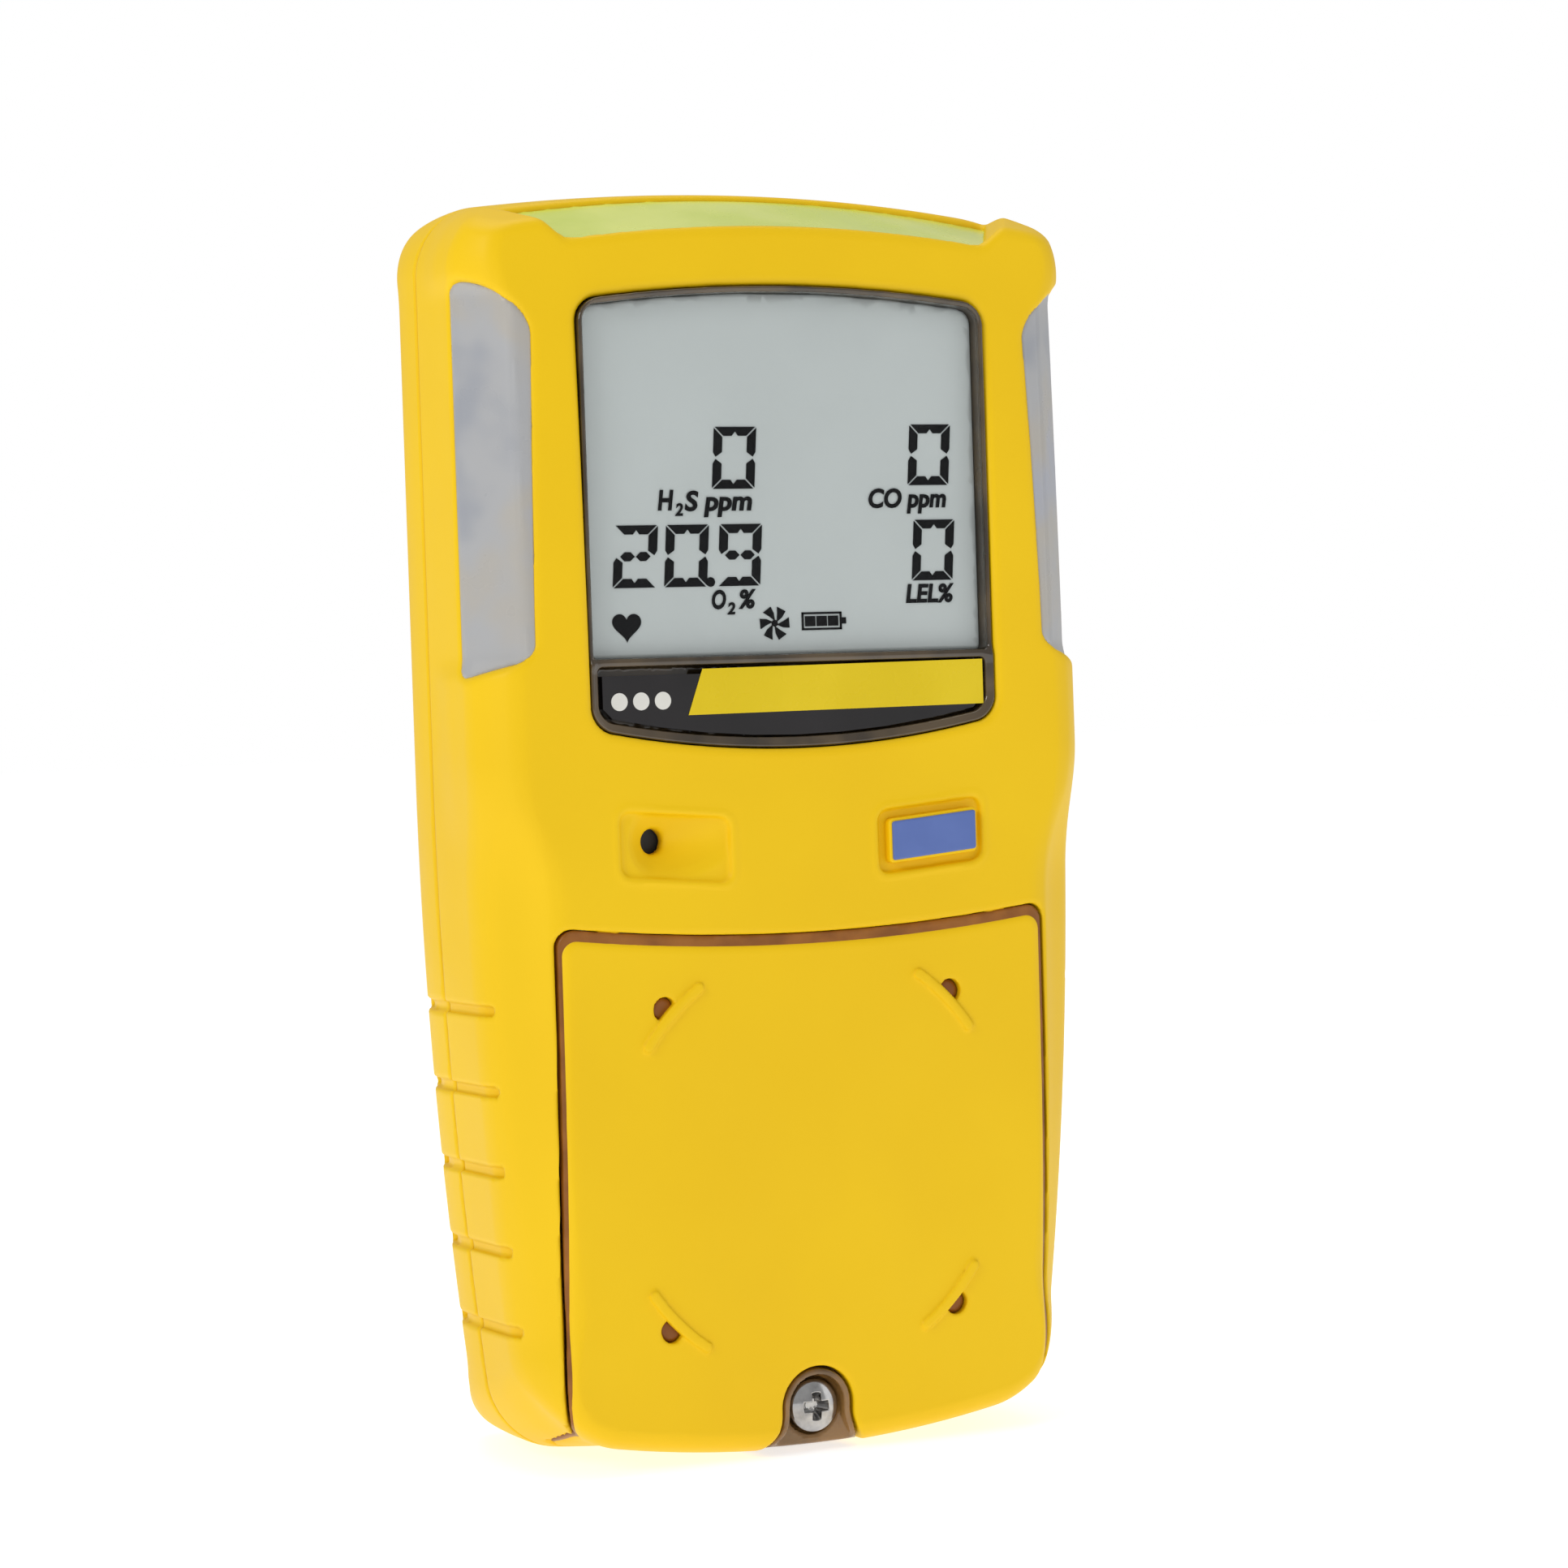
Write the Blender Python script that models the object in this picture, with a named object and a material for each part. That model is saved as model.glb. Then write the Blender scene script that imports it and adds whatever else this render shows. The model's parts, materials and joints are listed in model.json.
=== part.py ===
"""Portable four-gas detector with an internal sampling pump, as an assembly of separate solids.

Frame: +X is the user's right when facing the display, -Y is the front (display side), +Z is up.
The origin is on the floor under the middle of the bounding box. All sizes below are in millimetres;
mesh_object() turns them into metres.
"""

import math

import bmesh
import bpy
from mathutils import Matrix, Vector

MM = 0.001

# ---------------------------------------------------------------- driving sizes, mm
HEIGHT = 131.0
HALF_WIDTH = 35.0
FRONT_DEPTH = 18.4          # from the plane y = 0 to the crown of the front face
BACK_DEPTH = 16.5
PARTING_Y = -2.0            # plane where the front and rear casings meet
TAPER_TOP = 71.0            # the sides draw in below this height
SIDE_RADIUS = 530.0
TOP_RADIUS = 240.0
BOTTOM_RADIUS = 100.0
FOOT_RISE = 0.25            # how much of the bottom arc is flattened into a foot
CORNER_POWER = 6            # rounds the corners between the sides and the end arcs
CROWN_HEIGHT = 62.0
CROWN_RADIUS = 1500.0
TOP_SLOPE_START = 125.0     # height where the sloped alarm window begins
TOP_SLOPE_DEPTH = 17.3      # depth of the slope at that height
TOP_SLOPE = 2.5             # millimetres back per millimetre up
TOP_BLEND = 2.0             # softens the line between the front face and the slope
LEAST_DEPTH = 3.4           # the slope stops this far in front of the plane y = 0
SHOULDER = (58, 73)         # heights between which the bevelled front edge gets narrower
BEVEL_RUN = (6.2, 4.8)      # width of the bevelled front edge below and above the shoulder
BEVEL_FALL = (7.9, 5.5)     # its depth below and above the shoulder
BEVEL_SOFTNESS = 1.6        # length of the curves on both sides of the bevel
LEAST_EDGE = 2.3            # the flat side reaches at least this far forward
TOP_BACK_RADIUS = 8.0
FOOT_BACK_RADIUS = 6.0
FOOT_FRONT_RADIUS = 4.0
LEAST_FOOT_RADIUS = 0.6
BACK_EDGE_X = 22.0          # width of the rounded rear edge
Y_CENTRE_SHIFT = -7.43      # moves the modelled body so that the bounding box is centred on Y

SKIN = 1.9                  # yellow overmould thickness
SHELL_OUT = 2.2             # polycarbonate shell, outer and inner insets from the surface
SHELL_IN = 3.9
SHELL_MIDDLE = 3.0
WINDOW_OUT = 0.9
WINDOW_IN = 3.4
GAP = 0.3

COVER_HALF = 27.5
COVER_TOP = 54.6
COVER_SEAM = 0.5
COVER_BACK_Y = -13.4
SEAT_BACK_Y = -11.4
LEDGE = 2.3                 # the polycarbonate ledge under the cover's seam
DISPLAY_HALF = 23.1
DISPLAY_TOP = 118.2
DISPLAY_BOTTOM = 75.4
LCD_BOTTOM = 82.5
LCD_HALF = 21.7
LCD_TOP = 117.4
PLATE_HALF = 21.9
PLATE_TOP = 80.9
PLATE_BOTTOM = 76.0
FRAME_Y = (-17.5, -14.0)    # front and back of the display's layers
LENS_Y = (-16.9, -15.8)
LCD_Y = (-15.4, -14.0)
BACKLIGHT_Y = (-13.7, -11.7)
PLATE_Y = (-16.9, -15.5)
PLATE_SEAT_Y = -15.2
KEY_X = (8.5, 20.5)
KEY_MIDDLE = 14.5
KEY_STEM_HOLE = 2.2
KEY_CLEARANCE = 0.8         # between the key and its opening
KEY_LIP = 0.55              # rubber rim round the blue pad
KEY_Z = 63.2
KEY_HEIGHT = 6.5
KEY_TILT = math.radians(5.0)
HOLE_X = -16.2
HOLE_Z = 63.8
GRIP_HEIGHTS = [14.2 + 8.2 * i for i in range(5)]
SENSOR_RADIUS = 10.0
SENSOR_PITCH = 22.0
SENSOR_CENTRE_Z = 30.6
RIDGE_RADIUS = 22.2
SCREW_Z = 4.9
CASE_SCREWS = {
    "case_screw_top_left": (-27.8, 119.5),
    "case_screw_top_right": (27.8, 119.5),
    "case_screw_bottom_left": (-23.8, 10.0),
    "case_screw_bottom_right": (23.8, 10.0),
}
SCREW_SEAT_Y = 6.0
SIDE_WINDOW_INNER = (29.3, -17.4)     # x, y of a side window's edge beside the display
SIDE_WINDOW_OUTER = (34.5, -10.9)     # x, y of its edge on the flank
SIDE_WINDOW_FOOT = (82.2, 80.2)       # height of its lower edge, inner and outer end
SIDE_WINDOW_HEAD = (116.6, 121.2)     # height of its upper edge, inner and outer end
SIDE_WINDOW_CORNER = (3.2, 120.2)     # distance along the slant and height of its upper corner
TOP_WINDOW_FRONT = (23.2, -16.9)      # half width and y of the top window's edges
TOP_WINDOW_REAR = (31.0, -4.9)
TOP_WINDOW_FOOT = 121.6
HOLE_RADIUS = 1.35                    # the sounder's hole in the rubber
SOUND_OPENING = 4.2                   # and behind it, in the shell
SOUND_OPENING_X = -15.4
POCKET_Y = -17.1                      # floor of the sounder's recess
SCREW_HOLE = 1.8
COVER_SCREW_HOLE = 1.6
INLET_HOLE = 5.4
INLET_SCREW_HOLE = 1.4
INLET_SCREW_X = 10
PORT_HOLE = ((-5.9, 2.6, -2), (5.9, 9.4, 8))
FRONT_BOSS = 3.5
REAR_BOSS = 4.0
COVER_BOSS = 3.2
SCREW_ACCESS = 3.3
CLIP_PIN = (24.5, 88.0)     # y, z of the clip's pin
CLIP_PLATE_Y = (16.8, 17.8)
CLIP_SCREW_Z = 99.0
INLET_Z = 26.0
NOZZLE_Y = 19.3
SPIGOT_X = 9                # the tube to the pump starts here
SPIGOT_Y = 10.0
SPIGOT_RADIUS = 1.6

LEVELS = [0, 0.8, 2.2, 5, 9, 18, 32, 46, 58, 64, 71, 90, 112, 121, 124, 126, 128,
          129.5, 130.5, 131]
HIDDEN_LEVELS = [0, 2.2, 6, 18, 46, 58, 71, 112, 121, 125, 128, 130, 131]

PUMP_AXIS = (-2.5, 70)      # y, z
SHAKER_AXIS = (26.2, -3.5)  # x, y

BOXES = {                   # low corner, high corner, bevel, material
    "display_board": ((-23.5, -11.2, 57.5), (23.5, -9.8, 121), 0, "circuit_board"),
    "main_board": ((-23.0, 5.2, 61), (23.0, 6.8, 121), 0, "circuit_board"),
    "sensor_board": ((-19.0, 5.4, 11), (19.0, 6.8, 53), 0, "circuit_board"),
    "battery_pack": ((-21, -8.8, 84), (21, 4.6, 120), 1.6, "battery_wrap"),
    "pump_head": ((2.0, -8.6, 62), (16, 4.4, 79), 0.8, "black_plastic"),
    "button_switch": ((11.5, -12.6, 60.2), (17.5, -11.5, 66.2), 0.3, "black_plastic"),
    "cover_gasket": ((-21.5, -13.3, 11), (21.5, -11.0, 50.5), 0.4, "black_plastic"),
}

COLOURS = {
    "yellow_rubber": ((0.93, 0.71, 0.02), 0.55, 0.0),
    "smoke_polycarbonate": ((0.23, 0.15, 0.09), 0.2, 0.0),
    "clear_window": ((0.72, 0.74, 0.78), 0.25, 0.0),
    "lens": ((0.75, 0.78, 0.78), 0.08, 0.0),
    "lcd": ((0.62, 0.66, 0.65), 0.3, 0.0),
    "label": ((0.03, 0.03, 0.035), 0.25, 0.0),
    "button_blue": ((0.1, 0.2, 0.62), 0.4, 0.0),
    "black_plastic": ((0.03, 0.03, 0.03), 0.45, 0.0),
    "circuit_board": ((0.02, 0.2, 0.08), 0.4, 0.0),
    "battery_wrap": ((0.07, 0.12, 0.35), 0.4, 0.0),
    "silicone": ((0.75, 0.75, 0.72), 0.4, 0.0),
    "steel": ((0.62, 0.61, 0.6), 0.25, 1.0),
    "sensor_white": ((0.8, 0.8, 0.78), 0.5, 0.0),
    "brass": ((0.75, 0.55, 0.2), 0.3, 1.0),
}


# ---------------------------------------------------------------- scene and mesh helpers
def clear_scene():
    for obj in list(bpy.data.objects):
        bpy.data.objects.remove(obj)


def material(name):
    found = bpy.data.materials.get(name)
    if found:
        return found
    colour, roughness, metallic = COLOURS[name]
    made = bpy.data.materials.new(name)
    made.use_nodes = True
    shader = made.node_tree.nodes["Principled BSDF"]
    shader.inputs["Base Color"].default_value = (*colour, 1)
    shader.inputs["Roughness"].default_value = roughness
    shader.inputs["Metallic"].default_value = metallic
    made.diffuse_color = (*colour, 1)
    return made


def mesh_object(name, bm, material_name="black_plastic"):
    """Turns a bmesh in millimetres into an object in metres."""
    bmesh.ops.recalc_face_normals(bm, faces=bm.faces)
    bmesh.ops.scale(bm, vec=(MM, MM, MM), verts=bm.verts)
    mesh = bpy.data.meshes.new(name)
    bm.to_mesh(mesh)
    bm.free()
    obj = bpy.data.objects.new(name, mesh)
    obj.data.materials.append(material(material_name))
    bpy.context.scene.collection.objects.link(obj)
    return obj


def apply_boolean(target, tool, operation):
    modifier = target.modifiers.new(operation, "BOOLEAN")
    modifier.operation = operation
    modifier.solver = "EXACT"
    modifier.object = tool
    with bpy.context.temp_override(object=target, active_object=target):
        bpy.ops.object.modifier_apply(modifier=modifier.name)
    bpy.data.objects.remove(tool)
    return target


def cut(target, *tools):
    for tool in tools:
        apply_boolean(target, tool, "DIFFERENCE")
    return target


def add(target, *tools):
    for tool in tools:
        apply_boolean(target, tool, "UNION")
    return target


def keep_inside(target, *tools):
    for tool in tools:
        apply_boolean(target, tool, "INTERSECT")
    return target


def set_pivot(obj, place):
    """Puts the object's origin at a point, in millimetres, and leaves its shape where it is."""
    pivot = Vector(place) * MM
    obj.data.transform(Matrix.Translation(-pivot))
    obj.location += pivot
    return obj


def finish(obj, material_name, smooth_angle=35):
    """Gives the finished solid its one material and its shading."""
    obj.data.materials.clear()
    obj.data.materials.append(material(material_name))
    obj.data.shade_smooth()
    obj.data.set_sharp_from_angle(angle=math.radians(smooth_angle))
    return obj


def loft(name, rings):
    """A closed solid through rings of equal numbers of points."""
    bm = bmesh.new()
    loops = [[bm.verts.new(p) for p in ring] for ring in rings]
    count = len(loops[0])
    for lower, upper in zip(loops, loops[1:]):
        for i in range(count):
            j = (i + 1) % count
            bm.faces.new((lower[i], lower[j], upper[j], upper[i]))
    bm.faces.new(loops[0])
    bm.faces.new(loops[-1])
    bmesh.ops.triangulate(bm, faces=bm.faces)
    return mesh_object(name, bm)


def block(name, low, high, bevel=0.0, material_name="black_plastic"):
    bm = bmesh.new()
    bmesh.ops.create_cube(bm, size=1)
    size = [h - l for l, h in zip(low, high)]
    middle = [(h + l) / 2 for l, h in zip(low, high)]
    bmesh.ops.scale(bm, vec=size, verts=bm.verts)
    bmesh.ops.translate(bm, vec=middle, verts=bm.verts)
    if bevel:
        bmesh.ops.bevel(bm, geom=bm.edges[:], offset=bevel, segments=2,
                        profile=0.5, affect="EDGES")
    return mesh_object(name, bm, material_name)


AXIS_TURN = {
    "Z": Matrix.Identity(4),
    "Y": Matrix.Rotation(math.radians(-90), 4, "X"),   # the turned Z axis points along +Y
    "X": Matrix.Rotation(math.radians(90), 4, "Y"),
}


def turned(name, profile, place, axis="Z", sides=20, material_name="black_plastic"):
    """A solid of revolution from (radius, height) points that start and end on the axis."""
    bm = bmesh.new()
    inner = [p for p in profile if p[0] > 0]
    loops = [
        [
            bm.verts.new((r * math.cos(a), r * math.sin(a), h))
            for a in (2 * math.pi * i / sides for i in range(sides))
        ]
        for r, h in inner
    ]
    for lower, upper in zip(loops, loops[1:]):
        for i in range(sides):
            j = (i + 1) % sides
            bm.faces.new((lower[i], lower[j], upper[j], upper[i]))
    bm.faces.new(loops[0])
    bm.faces.new(loops[-1])
    bmesh.ops.transform(bm, matrix=AXIS_TURN[axis], verts=bm.verts)
    bmesh.ops.translate(bm, vec=place, verts=bm.verts)
    return mesh_object(name, bm, material_name)


def rod(name, radius, low, high, place, axis="Z", sides=16, material_name="black_plastic"):
    """A cylinder from low to high along the axis; place gives the other two coordinates."""
    return turned(name, [(radius, low), (radius, high)], place, axis, sides, material_name)


def prism(name, outline, low, high, axis="Y", material_name="black_plastic"):
    """An outline of (x, z) points extruded along Y, or of (y, z) along X, or of (x, y) along Z."""
    def point(a, b, depth):
        return {"Y": (a, depth, b), "X": (depth, a, b), "Z": (a, b, depth)}[axis]

    bm = bmesh.new()
    ends = [[bm.verts.new(point(a, b, depth)) for a, b in outline] for depth in (low, high)]
    count = len(outline)
    for i in range(count):
        j = (i + 1) % count
        bm.faces.new((ends[0][i], ends[0][j], ends[1][j], ends[1][i]))
    bm.faces.new(ends[0])
    bm.faces.new(ends[1])
    return mesh_object(name, bm, material_name)


def tube_along(name, points, radius, material_name, resolution=2):
    """A round tube through points, as a curve with filled caps."""
    curve = bpy.data.curves.new(name, "CURVE")
    curve.dimensions = "3D"
    curve.bevel_depth = radius * MM
    curve.bevel_resolution = resolution
    curve.use_fill_caps = True
    spline = curve.splines.new("POLY")
    spline.points.add(len(points) - 1)
    for target, p in zip(spline.points, points):
        target.co = (*(c * MM for c in p), 1)
    obj = bpy.data.objects.new(name, curve)
    curve.materials.append(material(material_name))
    bpy.context.scene.collection.objects.link(obj)
    return obj


# ---------------------------------------------------------------- the body's outer shape
def smooth_min(a, b, width):
    share = max(width - abs(a - b), 0) / width
    return min(a, b) - share * share * width / 4


def step_between(z, low, high):
    t = min(max((z - low) / (high - low), 0), 1)
    return t * t * (3 - 2 * t)


def between(ends, share):
    return ends[0] + (ends[1] - ends[0]) * share


def half_width(z, inset):
    side = HALF_WIDTH - max(0, TAPER_TOP - z) ** 2 / (2 * SIDE_RADIUS) - inset
    top = math.sqrt(2 * TOP_RADIUS * max(HEIGHT - inset - z, 0.05))
    bottom = math.sqrt(2 * BOTTOM_RADIUS * max(z - inset + FOOT_RISE, 0.05))
    limits = (side, top, bottom)
    return sum(w ** -CORNER_POWER for w in limits) ** (-1 / CORNER_POWER)


def rounding(distance, radius):
    """How far a rounded edge draws in at this distance from the end face."""
    reach = max(radius - distance, 0)
    return radius - math.sqrt(max(radius * radius - reach * reach, 0))


def front_depth(z, inset):
    crown = FRONT_DEPTH - (z - CROWN_HEIGHT) ** 2 / (2 * CROWN_RADIUS) - inset
    slope = TOP_SLOPE_DEPTH - (z - TOP_SLOPE_START) * TOP_SLOPE - math.hypot(1, TOP_SLOPE) * inset
    depth = max(smooth_min(crown, slope, TOP_BLEND), LEAST_DEPTH)
    return depth - rounding(z - inset, max(FOOT_FRONT_RADIUS - inset, LEAST_FOOT_RADIUS))


def back_depth(z, inset):
    depth = BACK_DEPTH - inset
    depth -= rounding(HEIGHT - inset - z, TOP_BACK_RADIUS - inset)
    return depth - rounding(z - inset, FOOT_BACK_RADIUS - inset)


def bend(start, corner, end):
    """Three points of a curve that rounds the corner."""
    return [
        tuple((1 - t) ** 2 * s + 2 * t * (1 - t) * c + t * t * e
              for s, c, e in zip(start, corner, end))
        for t in (0, 0.5, 1)
    ]


def section(z, inset):
    """The body's outline at height z, as (x, y) points, inset from the outer surface."""
    width, front, back = half_width(z, inset), front_depth(z, inset), back_depth(z, inset)
    upper = step_between(z, *SHOULDER)
    run = between(BEVEL_RUN, upper)
    fall = between(BEVEL_FALL, upper)
    edge = max(front - fall, LEAST_EDGE)
    run = min(run * (front - edge) / fall, width * 0.6)
    soft = min(BEVEL_SOFTNESS, run * 0.45, (front - edge) * 0.45)
    face = width - run
    slope = math.hypot(run, front - edge)
    along = (run / slope * soft, (front - edge) / slope * soft)
    right = [(0, -front)]
    right += bend((face - soft, -front), (face, -front), (face + along[0], -front + along[1]))
    right += bend((width - along[0], -edge - along[1]), (width, -edge),
                  (width, -edge + min(soft, (edge - 2.2) * 0.9 + 0.05)))
    right.append((width, PARTING_Y + 0.3))
    reach = min(BACK_EDGE_X - inset, width * 0.63)
    right += [
        (width - reach + reach * math.cos(a), -0.5 + (back + 0.5) * math.sin(a))
        for a in (math.radians(18 * i) for i in range(6))
    ]
    left = [(-x, y) for x, y in reversed(right[1:])]
    return right + [(0, back)] + left


def body(inset):
    """The whole outer body as one solid, drawn in by inset; surfaces under the skin are coarser."""
    share = (HEIGHT - 2 * inset) / HEIGHT
    levels = LEVELS if inset < SKIN else HIDDEN_LEVELS
    heights = [inset + level * share for level in levels]
    return loft("body", [[(x, y, z) for x, y in section(z, inset)] for z in heights])


def layer(outer, inner):
    """The wall between two insets of the body."""
    return cut(body(outer), body(inner))


def front_half(obj, limit):
    return keep_inside(obj, block("front_half", (-60, -60, -20), (60, limit, 160)))


def rear_half(obj, limit):
    return keep_inside(obj, block("rear_half", (-60, limit, -20), (60, 60, 160)))


# ---------------------------------------------------------------- outlines on the front face
def arc_points(half, height, sag, count):
    """Points from -half to half along an arc that is sag higher in the middle than at its ends."""
    return [
        (-half + 2 * half * i / count, height + sag * (1 - (2 * i / count - 1) ** 2))
        for i in range(count + 1)
    ]


def display_outline(grow=0.0, bottom=DISPLAY_BOTTOM, bottom_sag=2.4):
    """The display opening: curved top and bottom, chamfered corners."""
    half = DISPLAY_HALF + grow
    top = arc_points(half - 1.2, DISPLAY_TOP + 0.5 + grow, 1.4, 8)
    low = arc_points(half - 1.2, bottom - 0.5 - grow, -bottom_sag, 8)
    return (
        top
        + [(half, DISPLAY_TOP - 0.9 + grow), (half, bottom + 0.9 - grow)]
        + low[::-1]
        + [(-half, bottom + 0.9 - grow), (-half, DISPLAY_TOP - 0.9 + grow)]
    )


def cover_outline(grow=0.0, top_grow=0.0):
    """The sensor cover: straight sides, its top edge lower in the middle than at its corners."""
    half = COVER_HALF + grow
    top = arc_points(half - 1.4, COVER_TOP + top_grow, -1.6, 8)
    return top + [(half, COVER_TOP - 1.2 + top_grow), (half, -6), (-half, -6),
                  (-half, COVER_TOP - 1.2 + top_grow)]


def arch_outline(grow=0.0, bottom=-6.0):
    """The arch over the cover's screw, flared at the bottom edge."""
    radius = 4.1 + grow
    arch = [
        (radius * math.cos(a), 5.1 + radius * math.sin(a))
        for a in (math.radians(18 * i) for i in range(11))
    ]
    flare = 6.4 + grow
    return arch + [(-radius, 4.4), (-flare, 1.2), (-flare, bottom), (flare, bottom),
                   (flare, 1.2), (radius, 4.4)]


def key_outline(grow=0.0, mirror=1):
    """The slanted rounded rectangle of the button; mirrored, the sounder's recess."""
    left, right = KEY_X[0] - grow, KEY_X[1] + grow
    half = KEY_HEIGHT / 2 + grow
    chamfer = 1.0
    points = [
        (left + chamfer, half), (right - chamfer, half), (right, half - chamfer),
        (right, -half + chamfer), (right - chamfer, -half), (left + chamfer, -half),
        (left, -half + chamfer), (left, half - chamfer),
    ]
    return [(mirror * x, KEY_Z + z + (x - KEY_MIDDLE) * math.tan(KEY_TILT)) for x, z in points]


# ---------------------------------------------------------------- alarm windows
def side_window_prism(side, grow):
    """A block that leaves the body square to the bevelled edge, with the window's outline."""
    inner, outer = Vector(SIDE_WINDOW_INNER), Vector(SIDE_WINDOW_OUTER)
    along = (outer - inner).normalized()
    normal = Vector((along.y, -along.x))
    near, far = inner - along * grow, outer + along * grow
    corner, corner_z = SIDE_WINDOW_CORNER
    slant = [
        (near, SIDE_WINDOW_FOOT[0] - grow), (far, SIDE_WINDOW_FOOT[1] - grow),
        (far, SIDE_WINDOW_HEAD[1] + grow), (near + along * corner, corner_z + grow),
        (near, SIDE_WINDOW_HEAD[0] + grow),
    ]
    rings = [
        [(side * (p + normal * depth).x, (p + normal * depth).y, z) for p, z in slant]
        for depth in (-4.4, 4.0)
    ]
    return loft("side_window", rings)


def top_window_prism(grow):
    (front_half_width, front), (rear_half_width, rear) = TOP_WINDOW_FRONT, TOP_WINDOW_REAR
    outline = [
        (-front_half_width - grow, front - grow), (front_half_width + grow, front - grow),
        (rear_half_width + grow, rear + grow), (-rear_half_width - grow, rear + grow),
    ]
    return prism("top_window", outline, TOP_WINDOW_FOOT - grow, 140, axis="Z")


def alarm_window(name, shape):
    piece = keep_inside(layer(WINDOW_OUT, WINDOW_IN), shape)
    piece.name = name
    return finish(piece, "clear_window")


# ---------------------------------------------------------------- casings
def grip_grooves():
    """All ten grip grooves as one cutter of separate bars."""
    bm = bmesh.new()
    for z in GRIP_HEIGHTS:
        for side in (-1, 1):
            made = bmesh.ops.create_cube(bm, size=1)["verts"]
            bmesh.ops.scale(bm, vec=(4.0, 18.4, 1.3), verts=made)
            x = half_width(z, 0) - 0.9 + 2.0
            bmesh.ops.translate(bm, vec=(side * x, -2.4, z), verts=made)
    return mesh_object("grooves", bm)


def sounder_pocket():
    return prism("sounder_pocket", key_outline(mirror=-1), -30, POCKET_Y)


def make_front_overmould():
    obj = front_half(layer(0, SKIN), PARTING_Y - 0.15)
    cut(
        obj,
        prism("display", display_outline(), -30, -8),
        prism("cover", cover_outline(COVER_SEAM, 0.9), -30, COVER_BACK_Y),
        prism("arch", arch_outline(), -30, SEAT_BACK_Y + GAP),
        side_window_prism(1, GAP), side_window_prism(-1, GAP), top_window_prism(GAP),
        sounder_pocket(),
        boss(HOLE_RADIUS, -30, -10, (HOLE_X, HOLE_Z)),
        prism("key", key_outline(), -30, -12),
        grip_grooves(),
    )
    obj.name = "front_overmould"
    return finish(obj, "yellow_rubber")


def boss(radius, low, high, place):
    return rod("boss", radius, low, high, (place[0], 0, place[1]), "Y", 16)


def make_front_shell():
    obj = front_half(layer(SHELL_OUT, SHELL_IN), PARTING_Y - 0.6)
    bosses = [boss(FRONT_BOSS, -11.0, PARTING_Y - 0.6, place) for place in CASE_SCREWS.values()]
    bosses.append(boss(COVER_BOSS, -10.6, -4.0, (0, SCREW_Z)))
    add(obj, *(keep_inside(pillar, body(SHELL_MIDDLE)) for pillar in bosses))
    cut(
        obj,
        prism("arch", arch_outline(), -30, SEAT_BACK_Y + GAP),
        prism("display", display_outline(), -30, -12),
        prism("cover", cover_outline(-LEDGE, -LEDGE), -30, COVER_BACK_Y + 1.5),
        side_window_prism(1, GAP), side_window_prism(-1, GAP), top_window_prism(GAP),
        boss(SOUND_OPENING, -30, -10, (SOUND_OPENING_X, HOLE_Z)),
        boss(KEY_STEM_HOLE, -30, -12, (KEY_MIDDLE, KEY_Z)),
        boss(COVER_SCREW_HOLE, -30, -3, (0, SCREW_Z)),
        *(boss(SCREW_HOLE, -9.5, 0, place) for place in CASE_SCREWS.values()),
    )
    obj.name = "front_shell"
    return finish(obj, "smoke_polycarbonate")


def rear_openings():
    """Cutters for the holes that go through both rear layers."""
    return [
        boss(SCREW_HOLE, 5, 30, (0, CLIP_SCREW_Z)),
        boss(INLET_HOLE, 5, 30, (0, INLET_Z)),
        boss(INLET_SCREW_HOLE, 5, 30, (-INLET_SCREW_X, INLET_Z)),
        boss(INLET_SCREW_HOLE, 5, 30, (INLET_SCREW_X, INLET_Z)),
        block("port", *PORT_HOLE),
    ]


def make_rear_overmould():
    obj = rear_half(layer(0, SKIN), PARTING_Y + 0.15)
    cut(
        obj,
        grip_grooves(),
        *(boss(SCREW_ACCESS, -1, 30, place) for place in CASE_SCREWS.values()),
        *rear_openings(),
    )
    obj.name = "rear_overmould"
    return finish(obj, "yellow_rubber")


def make_rear_shell():
    obj = rear_half(layer(SHELL_OUT, SHELL_IN), PARTING_Y + 0.6)
    bosses = [boss(REAR_BOSS, PARTING_Y + 0.6, 7.6, place) for place in CASE_SCREWS.values()]
    add(obj, *(keep_inside(pillar, body(SHELL_MIDDLE)) for pillar in bosses))
    cut(
        obj,
        *(boss(SCREW_ACCESS - 0.2, SCREW_SEAT_Y, 30, place) for place in CASE_SCREWS.values()),
        *(boss(SCREW_HOLE, -5, 30, place) for place in CASE_SCREWS.values()),
        *rear_openings(),
    )
    obj.name = "rear_shell"
    return finish(obj, "smoke_polycarbonate")


def make_case_seal():
    obj = layer(2.6, 3.5)
    keep_inside(obj, block("slab", (-60, PARTING_Y - 0.3, -20), (60, PARTING_Y + 0.3, 160)))
    obj.name = "case_seal"
    return finish(obj, "silicone")


def make_casings():
    make_front_overmould()
    make_front_shell()
    make_rear_overmould()
    make_rear_shell()
    make_case_seal()
    alarm_window("alarm_window_right", side_window_prism(1, 0))
    alarm_window("alarm_window_left", side_window_prism(-1, 0))
    alarm_window("alarm_window_top", top_window_prism(0))


# ---------------------------------------------------------------- display
def lcd_window_outline(grow=0.0):
    half, corner = LCD_HALF + grow, LCD_TOP - 1.2 + grow
    top = arc_points(half - 1.0, LCD_TOP + grow, 1.5, 8)
    return top + [(half, corner), (half, LCD_BOTTOM - grow), (-half, LCD_BOTTOM - grow),
                  (-half, corner)]


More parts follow.
